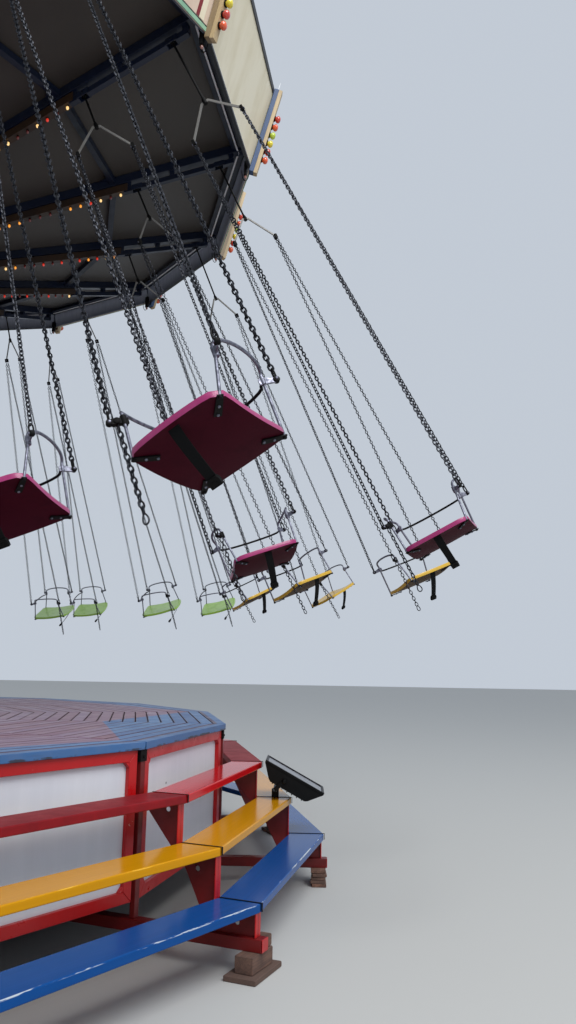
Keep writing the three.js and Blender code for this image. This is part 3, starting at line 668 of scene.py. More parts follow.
def seat_paint(name, face, worn, coat, level=0.5):
    """Gloss paint on a moulded plywood seat: bright, smooth and rubbed dull where riders sit. The
    underside copies are the seat's colour darkened as painted shade, and hardly shine."""
    material, tree, shader = finish(
        name, IOR=1.5, Coat_Weight=coat, Coat_Roughness=0.12, Specular_IOR_Level=level,
    )
    place = add(tree, "TexCoord", out="Object")
    rubs = add(tree, "TexNoise", {"Vector": place}, Scale=11.0, Detail=5, Roughness=0.7)
    rubbed = add(tree, "MapRange", {"Value": rubs}, From_Min=0.50, From_Max=0.85)
    colour = add(tree, "MixRGB", {"Fac": rubbed}, Color1=srgb(face), Color2=srgb(worn))
    rough = add(tree, "MapRange", {"Value": rubbed}, To_Min=0.62 - 0.8 * coat, To_Max=0.65)
    scuffs = add(tree, "TexNoise", {"Vector": place}, Scale=90.0, Detail=2)
    relief = add(tree, "Bump", {"Height": scuffs}, Strength=0.02, Distance=0.0005)
    feed(shader, Base_Color=colour, Roughness=rough, Normal=relief)
    return material


def webbing():
    """Black polypropylene seat-belt webbing: matt, with a twill rib across it."""
    material, tree, shader = finish("webbing", IOR=1.49, Roughness=0.8, Specular_IOR_Level=0.2)
    place = add(tree, "TexCoord", out="Object")
    # ribs 1.5 mm apart, drawn 4 to 7 mm apart so that they show
    ribs = add(tree, "TexWave", {"Vector": place}, Scale=95.0, Distortion=0.2, bands_direction="DIAGONAL")
    colour = add(tree, "MixRGB", {"Fac": ribs}, Color1=srgb("#030304"), Color2=srgb("#0A0B0D"))
    relief = add(tree, "Bump", {"Height": ribs}, Strength=0.5, Distance=0.001)
    feed(shader, Base_Color=colour, Normal=relief)
    return material


def bulb_glass(name, glass, glow, strength):
    """A lacquered bulb: thin coloured glass over a weak filament, with a bright highlight."""
    material, tree, shader = finish(
        name, IOR=1.52, Roughness=0.08, Coat_Weight=1.0, Coat_Roughness=0.03, Emission_Strength=strength,
    )
    facing = add(tree, "LayerWeight", out="Facing", Blend=0.35)
    lit = add(tree, "MixRGB", {"Fac": facing}, Color1=srgb(glow), Color2=srgb(glass))
    place = add(tree, "TexCoord", out="Object")
    dust = add(tree, "TexNoise", {"Vector": place}, Scale=60.0, Detail=2)
    coat = add(tree, "MixRGB", {"Fac": dust}, Color1=srgb(glass), Color2=srgb(glow))
    feed(shader, Base_Color=coat, Emission_Color=lit)
    return material


def black_enamel(name, rough):
    """Black stoving enamel on pressed steel: satin, dusty, faintly orange-peeled."""
    material, tree, shader = finish(name, IOR=1.5, Specular_IOR_Level=0.18)
    place = add(tree, "TexCoord", out="Object")
    dust = add(tree, "TexNoise", {"Vector": place}, Scale=18.0, Detail=5, Roughness=0.65)
    dusty = add(tree, "MapRange", {"Value": dust}, From_Min=0.45, From_Max=0.8)
    colour = add(tree, "MixRGB", {"Fac": dusty}, Color1=srgb("#040404"), Color2=srgb("#100F0F"))
    roughness = add(tree, "MapRange", {"Value": dusty}, To_Min=rough, To_Max=rough + 0.25)
    peel = add(tree, "TexNoise", {"Vector": place}, Scale=400.0)
    relief = add(tree, "Bump", {"Height": peel}, Strength=0.08, Distance=0.0005)
    feed(shader, Base_Color=colour, Roughness=roughness, Normal=relief)
    return material


def lamp_glass():
    """Toughened front glass of a floodlight that is switched off, dusty and violet-grey by day."""
    material, tree, shader = finish("lamp_glass", IOR=1.52, Coat_Weight=0.3, Coat_Roughness=0.1)
    place = add(tree, "TexCoord", out="Object")
    dust = add(tree, "TexNoise", {"Vector": place}, Scale=12.0, Detail=5)
    colour = add(tree, "MixRGB", {"Fac": dust}, Color1=srgb("#2E2E34"), Color2=srgb("#56525C"))
    rough = add(tree, "MapRange", {"Value": dust}, To_Min=0.1, To_Max=0.35)
    feed(shader, Base_Color=colour, Roughness=rough)
    return material


deck_paint = worn_deck_paint()
red_tread = tread_enamel("red_tread_enamel", "#BE1018", "#6E1C22", "#C98F88", 0.14, 0.0)
yellow_tread = tread_enamel("yellow_tread_enamel", "#D09006", "#A87412", "#EFC04A", 0.14, 0.06)
# the blue step's pale grey along its outer arris is partly wear and partly painted reflection
blue_tread = tread_enamel("blue_tread_enamel", "#08468A", "#1A5C98", "#C9D0D2", 0.18, 0.10)
red_enamel = steel_enamel("red_enamel", "#B81014", "#8A1416", "#D9C6B2", 0.66)
# the red enamel again, darkened as painted shade for the webs, ledges, beams, rails, posts and joists that lie in
# shade
dark_red_enamel = steel_enamel("dark_red_enamel", "#701010", "#420C0C", "#8A6A5A", 0.70, 0.35)
navy_enamel = steel_enamel("navy_enamel", "#101A30", "#0A101C", "#5C6478", 0.72, 0.3)
pale_enamel = steel_enamel("pale_enamel", "#7E7C78", "#56524C", "#3A2E26", 0.68, 0.45)
white_ply = painted_ply()
packing_timber = sawn_timber("packing_timber", "#8C6654", "#46302A")
canvas = coated_canvas()
cream_enamel = board_enamel("cream_enamel", "#DAD2BA", "#CBC1A4")
white_enamel = board_enamel("white_enamel", "#E9EAEA", "#C9CCD0")
rose_enamel = board_enamel("rose_enamel", "#CDB9A6", "#BFA795")
green_enamel = board_enamel("green_enamel", "#8FB79A", "#75A084")
crimson_enamel = board_enamel("crimson_enamel", "#7A1F28", "#5E1820")
ink_enamel = board_enamel("ink_enamel", "#16181C", "#24262A")
tan_enamel = board_enamel("tan_enamel", "#B8A17A", "#9A845C")
brown_enamel = board_enamel("brown_enamel", "#8A7658", "#6C5A42")
sky_enamel = board_enamel("sky_enamel", "#1D4473", "#173257", 0.35)
strip_enamel = board_enamel("strip_enamel", "#33200F", "#1F120A", 0.4)
blue_grey_back = board_back()
chain_zinc = zinc_plate("chain_zinc", "#505258", "#26272B", 0.44, 0.64)
bright_zinc = zinc_plate("bright_zinc", "#8F909E", "#62646F", 0.45, 0.62)
dark_iron = black_enamel("dark_iron", 0.6)
lamp_black = black_enamel("lamp_black", 0.38)
glass = lamp_glass()
strap_webbing = webbing()
# the undersides: each seat colour darkened as painted shade, with little shine
seat_under_painted_shade = {
    "pink": seat_paint("pink_under", "#3C0818", "#2E0612", 0.0, 0.06),
    "yellow": seat_paint("yellow_under", "#4A3210", "#2E1F0C", 0.0, 0.15),
    "green": seat_paint("green_under", "#3F5A24", "#2E4219", 0.0, 0.15),
}
seat_top = {
    "pink": seat_paint("pink_seat", "#981C60", "#A83872", 0.28),
    "yellow": seat_paint("yellow_seat", "#CDA42A", "#BA983E", 0.3),
    "green": seat_paint("green_seat", "#94BC4C", "#80A84A", 0.35),
}
bulb_colours = [
    bulb_glass("bulb_red", "#8C0F0A", "#FF3A1E", 0.5),
    bulb_glass("bulb_amber", "#9A4A08", "#FFA63A", 1.0),
    bulb_glass("bulb_straw", "#A88A2A", "#FFD090", 1.2),
    bulb_glass("bulb_dark", "#3A0A0A", "#7A1A12", 0.1),
    bulb_glass("bulb_unlit", "#8C5A54", "#A87A6C", 0.03),
]
cap_colours = [
    bulb_glass("cap_orange", "#C4401A", "#E8602A", 0.05),
    bulb_glass("cap_red", "#A8261C", "#D0402C", 0.05),
    bulb_glass("cap_yellow", "#C9B51E", "#E8D83A", 0.05),
    bulb_glass("cap_lime", "#9CB02A", "#C6DA4A", 0.05),
]


def band_depth(number):
    """How far the blue rim reaches in at a corner of the deck."""
    return BAND_BOARDS[number % len(BAND_BOARDS)] * DECK_BOARD["pitch"]


def deck_boards():
    """Boards laid along each side of the deck, one behind the other, with mitred ends."""
    stock = Stock()
    rim = flat(DECK_RADIUS)
    spread = math.tan(HALF_SIDE)
    for side in range(SIDES):
        place = turned(corner(side + 0.5))
        near, far = (rim - band_depth(number) for number in (side, side + 1))
        start, end = Vector((near, -near * spread, 0)), Vector((far, far * spread, 0))
        inwards = Vector((-(end - start).y, (end - start).x, 0)).normalized()
        outer = rim
        while outer > DECK_CENTRE:
            inner = outer - DECK_BOARD["pitch"] + DECK_BOARD["gap"]
            top = DECK_TOP - rng.uniform(0, DECK_BOARD["uneven"])
            edge = outer + (RIM_UNRUBBED if outer == rim else 0)
            stock.put(
                prism(mitred(inner, outer, DECK_BOARD["mitre"]), DECK_TOP - DECK_THICK, top),
                place,
                grain=lambda p, edge=edge: (p.y, edge - p.x, DECK_TOP - p.z),
                zone=lambda p, start=start, inwards=inwards: (p - start).dot(inwards),
            )
            outer -= DECK_BOARD["pitch"]
    piece(
        "deck_boards", stock.mesh("deck_boards", [deck_paint]), "platform",
        replaces=("deck_half_1", "deck_half_2"), slot="deck_boards", arris=0.003,
    )


def deck_irons():
    """Black corner irons over the ends of the rim boards, and the dark bearers in the gap under them."""
    stock = Stock()
    for number in range(SIDES):
        place = turned(corner(number))
        for iron in (CORNER_IRON, BEARER):
            low = (DECK_RADIUS - iron["inner"], -iron["half"], DECK_TOP - iron["bottom"])
            high = (DECK_RADIUS - iron["outer"], iron["half"], DECK_TOP - iron["top"])
            stock.put(box(low, high), place)
        for drop in (0.030, 0.085):
            head = Matrix.Translation((DECK_RADIUS - CORNER_IRON["outer"], 0, DECK_TOP - drop))
            stock.put(bolt(0.009, 0.007), place @ (head @ QUARTER_Y))
    piece("deck_irons", stock.mesh("deck_irons", [dark_iron]), "platform", arris=0.002)


def tread_boards():
    """One wide board to each side of each step, with mitred ends."""
    finishes = {"red": red_tread, "yellow": yellow_tread, "blue": blue_tread}
    for name, step in STEPS.items():
        stock = Stock()
        inner, outer = flat(step["inner"]), flat(step["outer"])
        for side in range(SIDES):
            # every other red side is dark and dull and the rest bright: partly wear, partly painted shade and
            # reflection
            stock.put(
                prism(mitred(inner, outer, TREAD_MITRE), step["top"] - TREAD_THICK, step["top"]),
                turned(corner(side + 0.5)),
                tone=0.95 * ((side + 1) % 2) if name == "red" else rng.uniform(0.0, 0.15),
                grain=lambda p, outer=outer, top=step["top"]: (p.y, outer - p.x, top - p.z),
            )
        piece(
            f"{name}_tread_boards", stock.mesh(f"{name}_tread_boards", [finishes[name]]), "platform",
            replaces=(f"{name}_treads_1", f"{name}_treads_2"), slot=f"{name}_tread_paint",
            arris=0.007, steps=3,
        )


def tread_irons():
    """Thin irons over the mitres of the steps, turned down at the outer end."""
    stock = Stock()
    half = MITRE_IRON["width"] / 2
    for step in STEPS.values():
        for number in range(SIDES):
            place = turned(corner(number))
            low, high = step["top"] + TOUCH, step["top"] + MITRE_IRON["thick"]
            stock.put(box((step["inner"] + 0.004, -half, low), (step["outer"] - 0.006, half, high)), place)
            end = step["outer"] + 0.002
            stock.put(box((end, -half, step["top"] - MITRE_IRON["lap"]), (end + 0.004, half, high)), place)
            stock.put(box((step["outer"] - 0.007, -half, low), (end + 0.001, half, high)), place)
    piece("tread_irons", stock.mesh("tread_irons", [dark_iron]), "platform")


def web_outline():
    """The side plate that carries the three steps, as (radius, height) points."""
    red, yellow, blue = STEPS.values()

    def seat(step):
        return step["top"] - TREAD_THICK - TOUCH

    first = yellow["inner"] - RISER_CLEAR
    second = blue["inner"] - RISER_CLEAR
    last = blue["outer"] - LAST_RISER_IN
    foot = FOOT_BEAM["top"] - 0.001
    post = POST["outer"] + TOUCH
    return [
        (post, seat(red) - WEB_STRAP), (POST["outer"] + WEB_HEEL, seat(red) - WEB_STRAP),
        (first - WEB_BACK, seat(yellow) + WEB_LIFT), (first - WEB_BACK, seat(yellow) - WEB_STRAP),
        (first + WEB_LEDGE, seat(yellow) - WEB_STRAP), (second - WEB_BACK, foot), (last, foot),
        (last, seat(blue)), (second, seat(blue)), (second, seat(yellow)), (first, seat(yellow)),
        (first, seat(red)), (post, seat(red)),
    ]


def under_frame():
    """Foot beams, ring rails and the stepped webs with their riser flanges, all welded steel."""
    stock = Stock()
    red, yellow, blue = STEPS.values()
    outline = web_outline()
    thick, half = WEB["flange_thick"], WEB["flange"] / 2
    levels = [step["top"] - TREAD_THICK - TOUCH for step in (red, yellow, blue)]
    risers = [
        yellow["inner"] - RISER_CLEAR, blue["inner"] - RISER_CLEAR, blue["outer"] - LAST_RISER_IN,
    ]
    starts = [POST["outer"] + TOUCH, *risers[:2]]
    floor = [*levels[1:], FOOT_BEAM["top"]]
    holes = [
        (riser - back, level - drop, WEB_HOLE_RADIUS)
        for riser, level, (back, drop) in zip(risers, levels, WEB_HOLES)
    ]
    beam = FOOT_BEAM["width"] / 2
    inner, outer, low, high = (FOOT_BEAM[key] for key in ("inner", "outer", "bottom", "top"))
    rail_in, rail_out, rail_low, rail_high = (RING_RAIL[key] for key in ("inner", "outer", "bottom", "top"))
    for number in range(SIDES):
        place = turned(corner(number))
        # finish 1 is the red enamel darkened as painted shade, on the foot beams, webs, ledges and ring rails
        stock.put(box((inner, -beam, low), (outer, beam, high)), place, finish=1)
        stock.put(box((outer, -beam, low), (outer + BEAM_CAP, beam, high)), place, tone=0.8)
        stock.put(pierced_plate(outline, holes, WEB["plate"]), place, finish=1, tone=0.5)
        for level, start, riser, foot in zip(levels, starts, risers, floor):
            ledge = box((start, -half, level - thick), (riser - thick, half, level))
            stock.put(ledge, place, finish=1, tone=0.6)
            stock.put(box((riser - thick, -half, foot), (riser, half, level)), place, tone=0.3)
        after = turned(corner(number + 1))
        middle = Vector(((rail_in + rail_out) / 2, 0, (rail_low + rail_high) / 2))
        shape, lie = bar(place @ middle, after @ middle, rail_out - rail_in, rail_high - rail_low)
        stock.put(shape, lie, finish=1)
    piece(
        "under_frame", stock.mesh("under_frame", [red_enamel, dark_red_enamel]), "platform",
        replaces=[f"base_quarter_{quarter}" for quarter in (1, 2, 3, 4)], slot="red_steel", arris=0.003,
    )


def packing():
    """Timber packing under the foot beams: a board and a block, or a stack of thin boards."""
    stock = Stock()

    def crossways(p):
        return p.y, p.x, p.z

    height = FOOT_BEAM["bottom"] - TOUCH
    for number in range(SIDES):
        place = turned(corner(number))
        stack = PACKING_STACKS[number % 2]
        scale = height / sum(stack)
        level = 0.0
        for order, thick in enumerate(stack):
            lower = order == 0
            size = PACKING_BOARD if lower and number % 2 else PACKING_BLOCK
            middle = (size["inner"] + size["outer"]) / 2 + (0 if lower else rng.uniform(-0.004, 0.004))
            half = (size["outer"] - size["inner"]) / 2
            wide = size["width"] / 2 - (0 if lower else rng.uniform(0.002, 0.014))
            askew = rng.uniform(-0.05, 0.05) * (not lower)
            turn = Matrix.Translation((middle, 0, 0)) @ Matrix.Rotation(askew, 4, "Z")
            top = level + thick * scale
            board = box((-half, -wide, level + TOUCH * order), (half, wide, top))
            stock.put(board, place @ turn, grain=crossways)
            level = top
        if number % 2:
            near = (CHOCK["inner"], FOOT_BEAM["width"] / 2 + 0.006, level + TOUCH)
            chock = box(near, (CHOCK["outer"], CHOCK["side"], level + CHOCK["height"]))
            stock.put(chock, place, grain=crossways)
        wide = INNER_PACKING["width"] / 2
        block = box((INNER_PACKING["inner"], -wide, 0), (INNER_PACKING["outer"], wide, height))
        stock.put(block, place, grain=crossways)
    piece("packing", stock.mesh("packing", [packing_timber]), "platform", arris=0.004)


def skirt_frames():
    """Welded frames with small gussets in their corners, and a recessed post between two frames."""
    stock = Stock()
    bottom, top = SKIRT["bottom"], DECK_TOP - DECK_THICK - TOUCH
    half = SKIRT_RADIUS * math.sin(HALF_SIDE) - SKIRT["to_corner"]
    rail, thick, gusset = SKIRT["rail"], SKIRT["thick"], SKIRT["gusset"]
    face = flat(SKIRT_RADIUS)
    rails = [
        [(-half, bottom), (half, bottom), (half - rail, bottom + rail), (-half + rail, bottom + rail)],
        [(half, bottom), (half, top), (half - rail, top - rail), (half - rail, bottom + rail)],
        [(half, top), (-half, top), (-half + rail, top - rail), (half - rail, top - rail)],
        [(-half, top), (-half, bottom), (-half + rail, bottom + rail), (-half + rail, top - rail)],
    ]
    for x, across in ((-half + rail, 1), (half - rail, -1)):
        for y, rise in ((bottom + rail, 1), (top - rail, -1)):
            tip = [(x, y), (x + across * gusset, y), (x, y + rise * gusset)]
            rails.append(tip if across * rise > 0 else tip[::-1])
    for side in range(SIDES):
        place = turned(corner(side + 0.5)) @ Matrix.Translation((face, 0, 0))
        place = place @ Matrix.Rotation(math.pi / 2, 4, "Z") @ QUARTER_X
        tone = rng.uniform(0.1, 0.5)
        for outline in rails:
            stock.put(prism(outline, -thick, 0), place, tone=tone)
        wide = POST["width"] / 2
        post = box((POST["inner"], -wide, FOOT_BEAM["top"] + TOUCH), (POST["outer"], wide, top))
        # the recessed posts take the red enamel darkened as painted shade
        stock.put(post, turned(corner(side)), finish=1)
    piece(
        "skirt_frames", stock.mesh("skirt_frames", [red_enamel, dark_red_enamel]), "platform",
        replaces=[f"skirt_frame_{quarter}" for quarter in (1, 2, 3, 4)], slot="red_steel", arris=0.003,
    )


def floodlight():
    """A stage floodlight: ribbed black housing, framed front glass, stirrup and post."""
    stock = Stock()
    yellow = STEPS["yellow"]["top"]
    face, back, wide, depth, rim = (FLOODLIGHT[key] for key in ("face", "back", "half", "depth", "rim"))
    tilted = Matrix.Translation((FLOODLIGHT["radius"], 0, yellow + FLOODLIGHT["rise"]))
    tilted = tilted @ Matrix.Rotation(FLOODLIGHT["tilt"], 4, "Y")
    shell = [
        (-back, -depth + 0.012), (-back + 0.02, -depth), (back - 0.02, -depth), (back, -depth + 0.012),
        (face, -rim), (-face, -rim),
    ]
    stock.put(across_plate(shell, 2 * wide - 0.010), tilted)
    for y in (-wide, wide - rim):
        stock.put(box((-face, y, -rim), (face, y + rim, 0)), tilted)
    for x in (-face, face - rim):
        stock.put(box((x, -wide + rim, -rim), (x + rim, wide - rim, 0)), tilted)
    stock.put(box((-face + rim, -wide + rim, -rim), (face - rim, wide - rim, -0.006)), tilted, finish=1)
    for rib in range(FLOODLIGHT["ribs"]):
        x = -0.120 + rib * FLOODLIGHT["rib_pitch"]
        low, high = (x - 0.003, -wide + 0.03, -depth - 0.012), (x + 0.003, wide - 0.03, -depth + 0.002)
        stock.put(box(low, high), tilted)
    for side in (-1, 1):
        y = side * (wide + 0.004)
        shape, lie = bar(Vector((4.430, y, yellow + 0.075)), Vector((4.500, y, yellow + 0.135)), 0.006, 0.030)
        stock.put(shape, lie)
        knob = Matrix.Translation((4.500, side * (wide + 0.010), yellow + 0.135))
        knob = knob @ Matrix.Rotation(-side * math.pi / 2, 4, "X")
        stock.put(lathe([(0.018, 0), (0.020, 0.006), (0.014, 0.020)], 10), knob)
    stock.put(box((4.415, -wide - 0.007, yellow + 0.060), (4.445, wide + 0.007, yellow + 0.066)))
    stock.put(box((4.404, -0.027, yellow + 0.004), (4.456, 0.027, yellow + 0.061)))
    piece(
        "floodlight_lamp", stock.mesh("floodlight_lamp", [lamp_black, glass]), "platform",
        replaces=("floodlight",), slot="black_metal", arris=0.002,
    )


def centre():
    """The round panelled casing, and the mast with its flanges and bearing."""
    low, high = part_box("centre_casing")
    outer = high.x
    stock = Stock()
    face, half, head = flat(outer), outer * math.sin(HALF_SIDE), high.z - 0.03
    for panel in range(SIDES):
        place = turned(corner(panel + 0.5))
        board = box((face - 0.020, -half + 0.012, low.z), (face - 0.008, half - 0.012, head))
        stock.put(board, place, tone=0.3)
        for z0, z1 in ((low.z, low.z + 0.14), (low.z + 0.78, low.z + 0.84), (high.z - 0.16, head)):
            stock.put(box((face - 0.010, -half + 0.040, z0), (face, half - 0.040, z1)), place, finish=1)
        rib = box((outer - 0.022, -0.030, low.z), (outer - 0.001, 0.030, head))
        stock.put(rib, turned(corner(panel)), finish=2)
    hole, edge, under = 0.161, outer - 0.002, high.z - 0.028
    lid = [(hole, under), (edge, under), (edge, high.z), (hole, high.z)]
    stock.put(ring_of(lid, 2 * SIDES), finish=2)
    piece(
        "casing_panels", stock.mesh("casing_panels", [cream_enamel, green_enamel, sky_enamel]), "platform",
        replaces=("centre_casing",), slot="cream_board", arris=0.003,
    )
    stock = Stock()
    low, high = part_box("centre_mast")
    hub_bottom = arm_height(0.400) - HUB["below"]
    stock.put(lathe([
        (0.159, low.z), (0.159, hub_bottom - 0.060), (0.1595, hub_bottom - 0.055),
        (0.1595, hub_bottom - TOUCH), (0.089, hub_bottom - TOUCH), (0.089, high.z - 0.03), (0.060, high.z),
    ], 40))
    for z in (2.620, 3.700, hub_bottom - 0.080):
        stock.put(ring_of([(0.150, z), (0.1595, z), (0.1595, z + 0.030), (0.150, z + 0.030)], 40), finish=1)
    piece(
        "mast_tube", stock.mesh("mast_tube", [navy_enamel, pale_enamel]), "platform",
        replaces=("centre_mast",), slot="navy_steel",
    )


def arm_point(radius, across, drop):
    """A point on the arm at angle 0, below its centre line by a drop measured straight down."""
    return Vector((radius, across, arm_height(radius) - drop))


def sloped(start, end, width, top, bottom, across=0.0):
    """A bar along an arm at angle 0, between two radii and two drops below the centre line."""
    half = width / 2
    points = [
        arm_point(radius, across + side, drop)
        for side in (-half, half)
        for radius, drop in ((start, bottom), (end, bottom), (end, top), (start, top))
    ]
    faces = [(3, 2, 1, 0), (4, 5, 6, 7), (0, 1, 5, 4), (1, 2, 6, 5), (2, 3, 7, 6), (3, 0, 4, 7)]
    return points, [tuple(reversed(face)) for face in faces]


def board_reach(drop):
    """The radius at which a line on an arm meets the inner face of the rounding boards."""
    lean = (BOARD["top_radius"] - BOARD["bottom_radius"]) / (BOARD["top"] - BOARD["bottom"])
    level = arm_height(0) - drop - BOARD["bottom"]
    corner_in = ARM_BOX / 2 * math.tan(HALF_SIDE) + 0.002
    return (BOARD["bottom_radius"] - BOARD["thick"] - corner_in + lean * level) / (1 - lean * ARM_SLOPE)


def canopy_steel():
    """Sixteen arms of an upper box and a lower rail with pivot cheeks, two rings and the hub."""
    stock = Stock()
    half = ARM_BOX / 2
    rail_top, rail_bottom = LOWER_RAIL["bottom"] - LOWER_RAIL["size"], LOWER_RAIL["bottom"]
    swings = [joint for joint in frame["joints"] if "swing" in joint["name"]]
    pivots = sorted({round(Vector(joint["pos_m"][:2]).length, 3) for joint in swings})
    for arm in range(SIDES):
        place = turned(CANOPY_TURN + corner(arm))
        stock.put(sloped(ARM_START, board_reach(0), ARM_BOX, -half, half), place)
        start = LIGHT_STRIP["outer"]
        stops = [
            (start - 0.03, pivots[0] - 0.034), (pivots[0] + 0.034, pivots[1] - 0.034),
            (pivots[1] + 0.034, LOWER_RAIL["outer"]),
        ]
        for inner, outer in stops:
            stock.put(sloped(inner, outer, LOWER_RAIL["size"], rail_top, rail_bottom), place)
        for radius in pivots:
            for side in (-1, 1):
                reach = (radius - 0.045, radius + 0.045)
                stock.put(sloped(*reach, 0.006, rail_top - 0.004, rail_bottom, side * 0.026), place)
                middle = arm_point(radius, side * 0.029, (rail_top + rail_bottom) / 2)
                pin = place @ Matrix.Translation(middle)
                stock.put(bolt(0.010, 0.008), pin @ Matrix.Rotation(-side * math.pi / 2, 4, "X"))
        for radius in (start + 0.01, pivots[0] + 0.30, LOWER_RAIL["outer"] - 0.025):
            stock.put(sloped(radius - 0.02, radius + 0.02, LOWER_RAIL["size"], half, rail_top), place)
        stock.put(sloped(LIGHT_STRIP["inner"], start, 0.020, half, rail_bottom - 0.016), place)
        after = turned(CANOPY_TURN + corner(arm + 1))
        for ring in (MID_RING, RIM_RING):
            point = Vector((ring["radius"], 0, arm_height(ring["radius"])))
            shape, lie = bar(place @ point, after @ point, ring["size"], ring["size"])
            stock.put(shape, lie)
        for out, down, wide, paint in ((-0.062, 0.016, 0.044, 0), (-0.033, 0.034, 0.014, 2)):
            edge = Vector((RIM_RING["radius"] + out, 0, arm_height(RIM_RING["radius"] + out) - down))
            shape, lie = bar(place @ edge, after @ edge, wide, 0.008)
            stock.put(shape, lie, finish=paint)
        for radius in (MID_RING["radius"], RIM_RING["radius"]):
            for side in (-1, 1):
                gusset = [(0, 0), (0.09, 0), (0, 0.09)]
                spot = place @ Matrix.Translation(arm_point(radius - 0.026, side * half, 0))
                stock.put(prism([(-x, side * y) for x, y in gusset][::side], -0.004, 0.004), spot)
    height = arm_height(0.400)
    bore, radius, below, above = (HUB[key] for key in ("bore", "radius", "below", "above"))
    hub = [(bore, -below), (radius, -below), (radius, above), (bore, above)]
    stock.put(ring_of([(r, height + z) for r, z in hub], 2 * SIDES, CANOPY_TURN))
    for step in range(SIDES):
        spot = turned(CANOPY_TURN + corner(step + 0.5))
        stock.put(bolt(0.014, 0.012), spot @ Matrix.Translation((0.36, 0, height + above)), finish=1)
        under = Matrix.Translation((0.36, 0, height - below)) @ UPSIDE_DOWN
        stock.put(bolt(0.014, 0.012), spot @ under, finish=1)
    piece(
        "canopy_steel", stock.mesh("canopy_steel", [navy_enamel, chain_zinc, white_enamel]), "canopy",
        replaces=("canopy_frame",), slot="navy_steel", arris=0.003,
    )


def light_strips():
    """Varnished light boxes under the arms, each with a row of bulbs in holders."""
    stock, bulbs = Stock(), Stock()
    r = BULB["radius"]
    bulb = lathe([(0, -2.6 * r), (0.62 * r, -2.3 * r), (r, -1.5 * r), (0.85 * r, -0.7 * r), (0.5 * r, 0)], 6)
    holder = lathe([(0.8 * r, -0.006), (0.8 * r, 0)], 6)
    count = int((LIGHT_STRIP["outer"] - LIGHT_STRIP["inner"]) / BULB["pitch"])
    for arm in range(SIDES):
        place = turned(CANOPY_TURN + corner(arm))
        stock.put(sloped(*LIGHT_STRIP.values()), place)
        for number in range(count):
            radius = LIGHT_STRIP["inner"] + (number + 0.5) * BULB["pitch"]
            spot = place @ Matrix.Translation(arm_point(radius, 0, LIGHT_STRIP["bottom"]))
            bulbs.put(bulb, spot, finish=rng.choice((0, 0, 1, 2, 3, 3, 3)))
            stock.put(holder, spot, finish=1)
    piece("light_strips", stock.mesh("light_strips", [strip_enamel, dark_iron]), "canopy")
    piece("strip_bulbs", bulbs.mesh("strip_bulbs", bulb_colours, 80), "canopy")


def roof_canvas():
    """The canvas over the arms: sixteen gores pulled tight at the arms and slack between them."""
    steps, rows = 6, 8
    above = ARM_BOX / 2 + 0.003
    points, faces = [], []
    for level in (0.0, ROOF["thick"]):
        for row in range(rows + 1):
            share = row / rows
            radius = ROOF["inner"] + share * (ROOF["outer"] - ROOF["inner"])
            for side in range(SIDES):
                first = Vector((radius, 0, 0))
                here = turned(CANOPY_TURN + corner(side)) @ first
                there = turned(CANOPY_TURN + corner(side + 1)) @ first
                for step in range(steps):
                    t = step / steps
                    slack = ROOF["sag"] * math.sin(math.pi * t) * math.sin(math.pi * share) ** 0.5
                    point = here.lerp(there, t)
                    point.z = arm_height(radius) + above + level - slack
                    points.append(point)
    around = SIDES * steps
    under = (rows + 1) * around
    for row in range(rows):
        for step in range(around):
            a, b = row * around + step, row * around + (step + 1) % around
            c, d = b + around, a + around
            faces.append((a, b, c, d))
            faces.append((under + d, under + c, under + b, under + a))
    for step in range(around):
        after = (step + 1) % around
        faces.append((step, under + step, under + after, after))
        outer = rows * around
        faces.append((outer + after, under + outer + after, under + outer + step, outer + step))
    stock = Stock()
    stock.put((points, faces))
    made = piece(
        "roof_canvas", stock.mesh("roof_canvas", [canvas], 60), "canopy",
        replaces=("roof_sheet",), slot="dark_sheet",
    )


def board_frame(side):
    """The outer face of a rounding board: +X along it, +Y into the ride and +Z up its lean."""
    turn = turned(CANOPY_TURN + corner(side + 0.5))
    foot = Vector((flat(BOARD["bottom_radius"]), 0, BOARD["bottom"]))
    head = Vector((flat(BOARD["top_radius"]), 0, BOARD["top"]))
    up = (head - foot).normalized()
    x = Vector((0, 1, 0))
    return turn @ frame_of(x, up.cross(x), up, foot), (head - foot).length


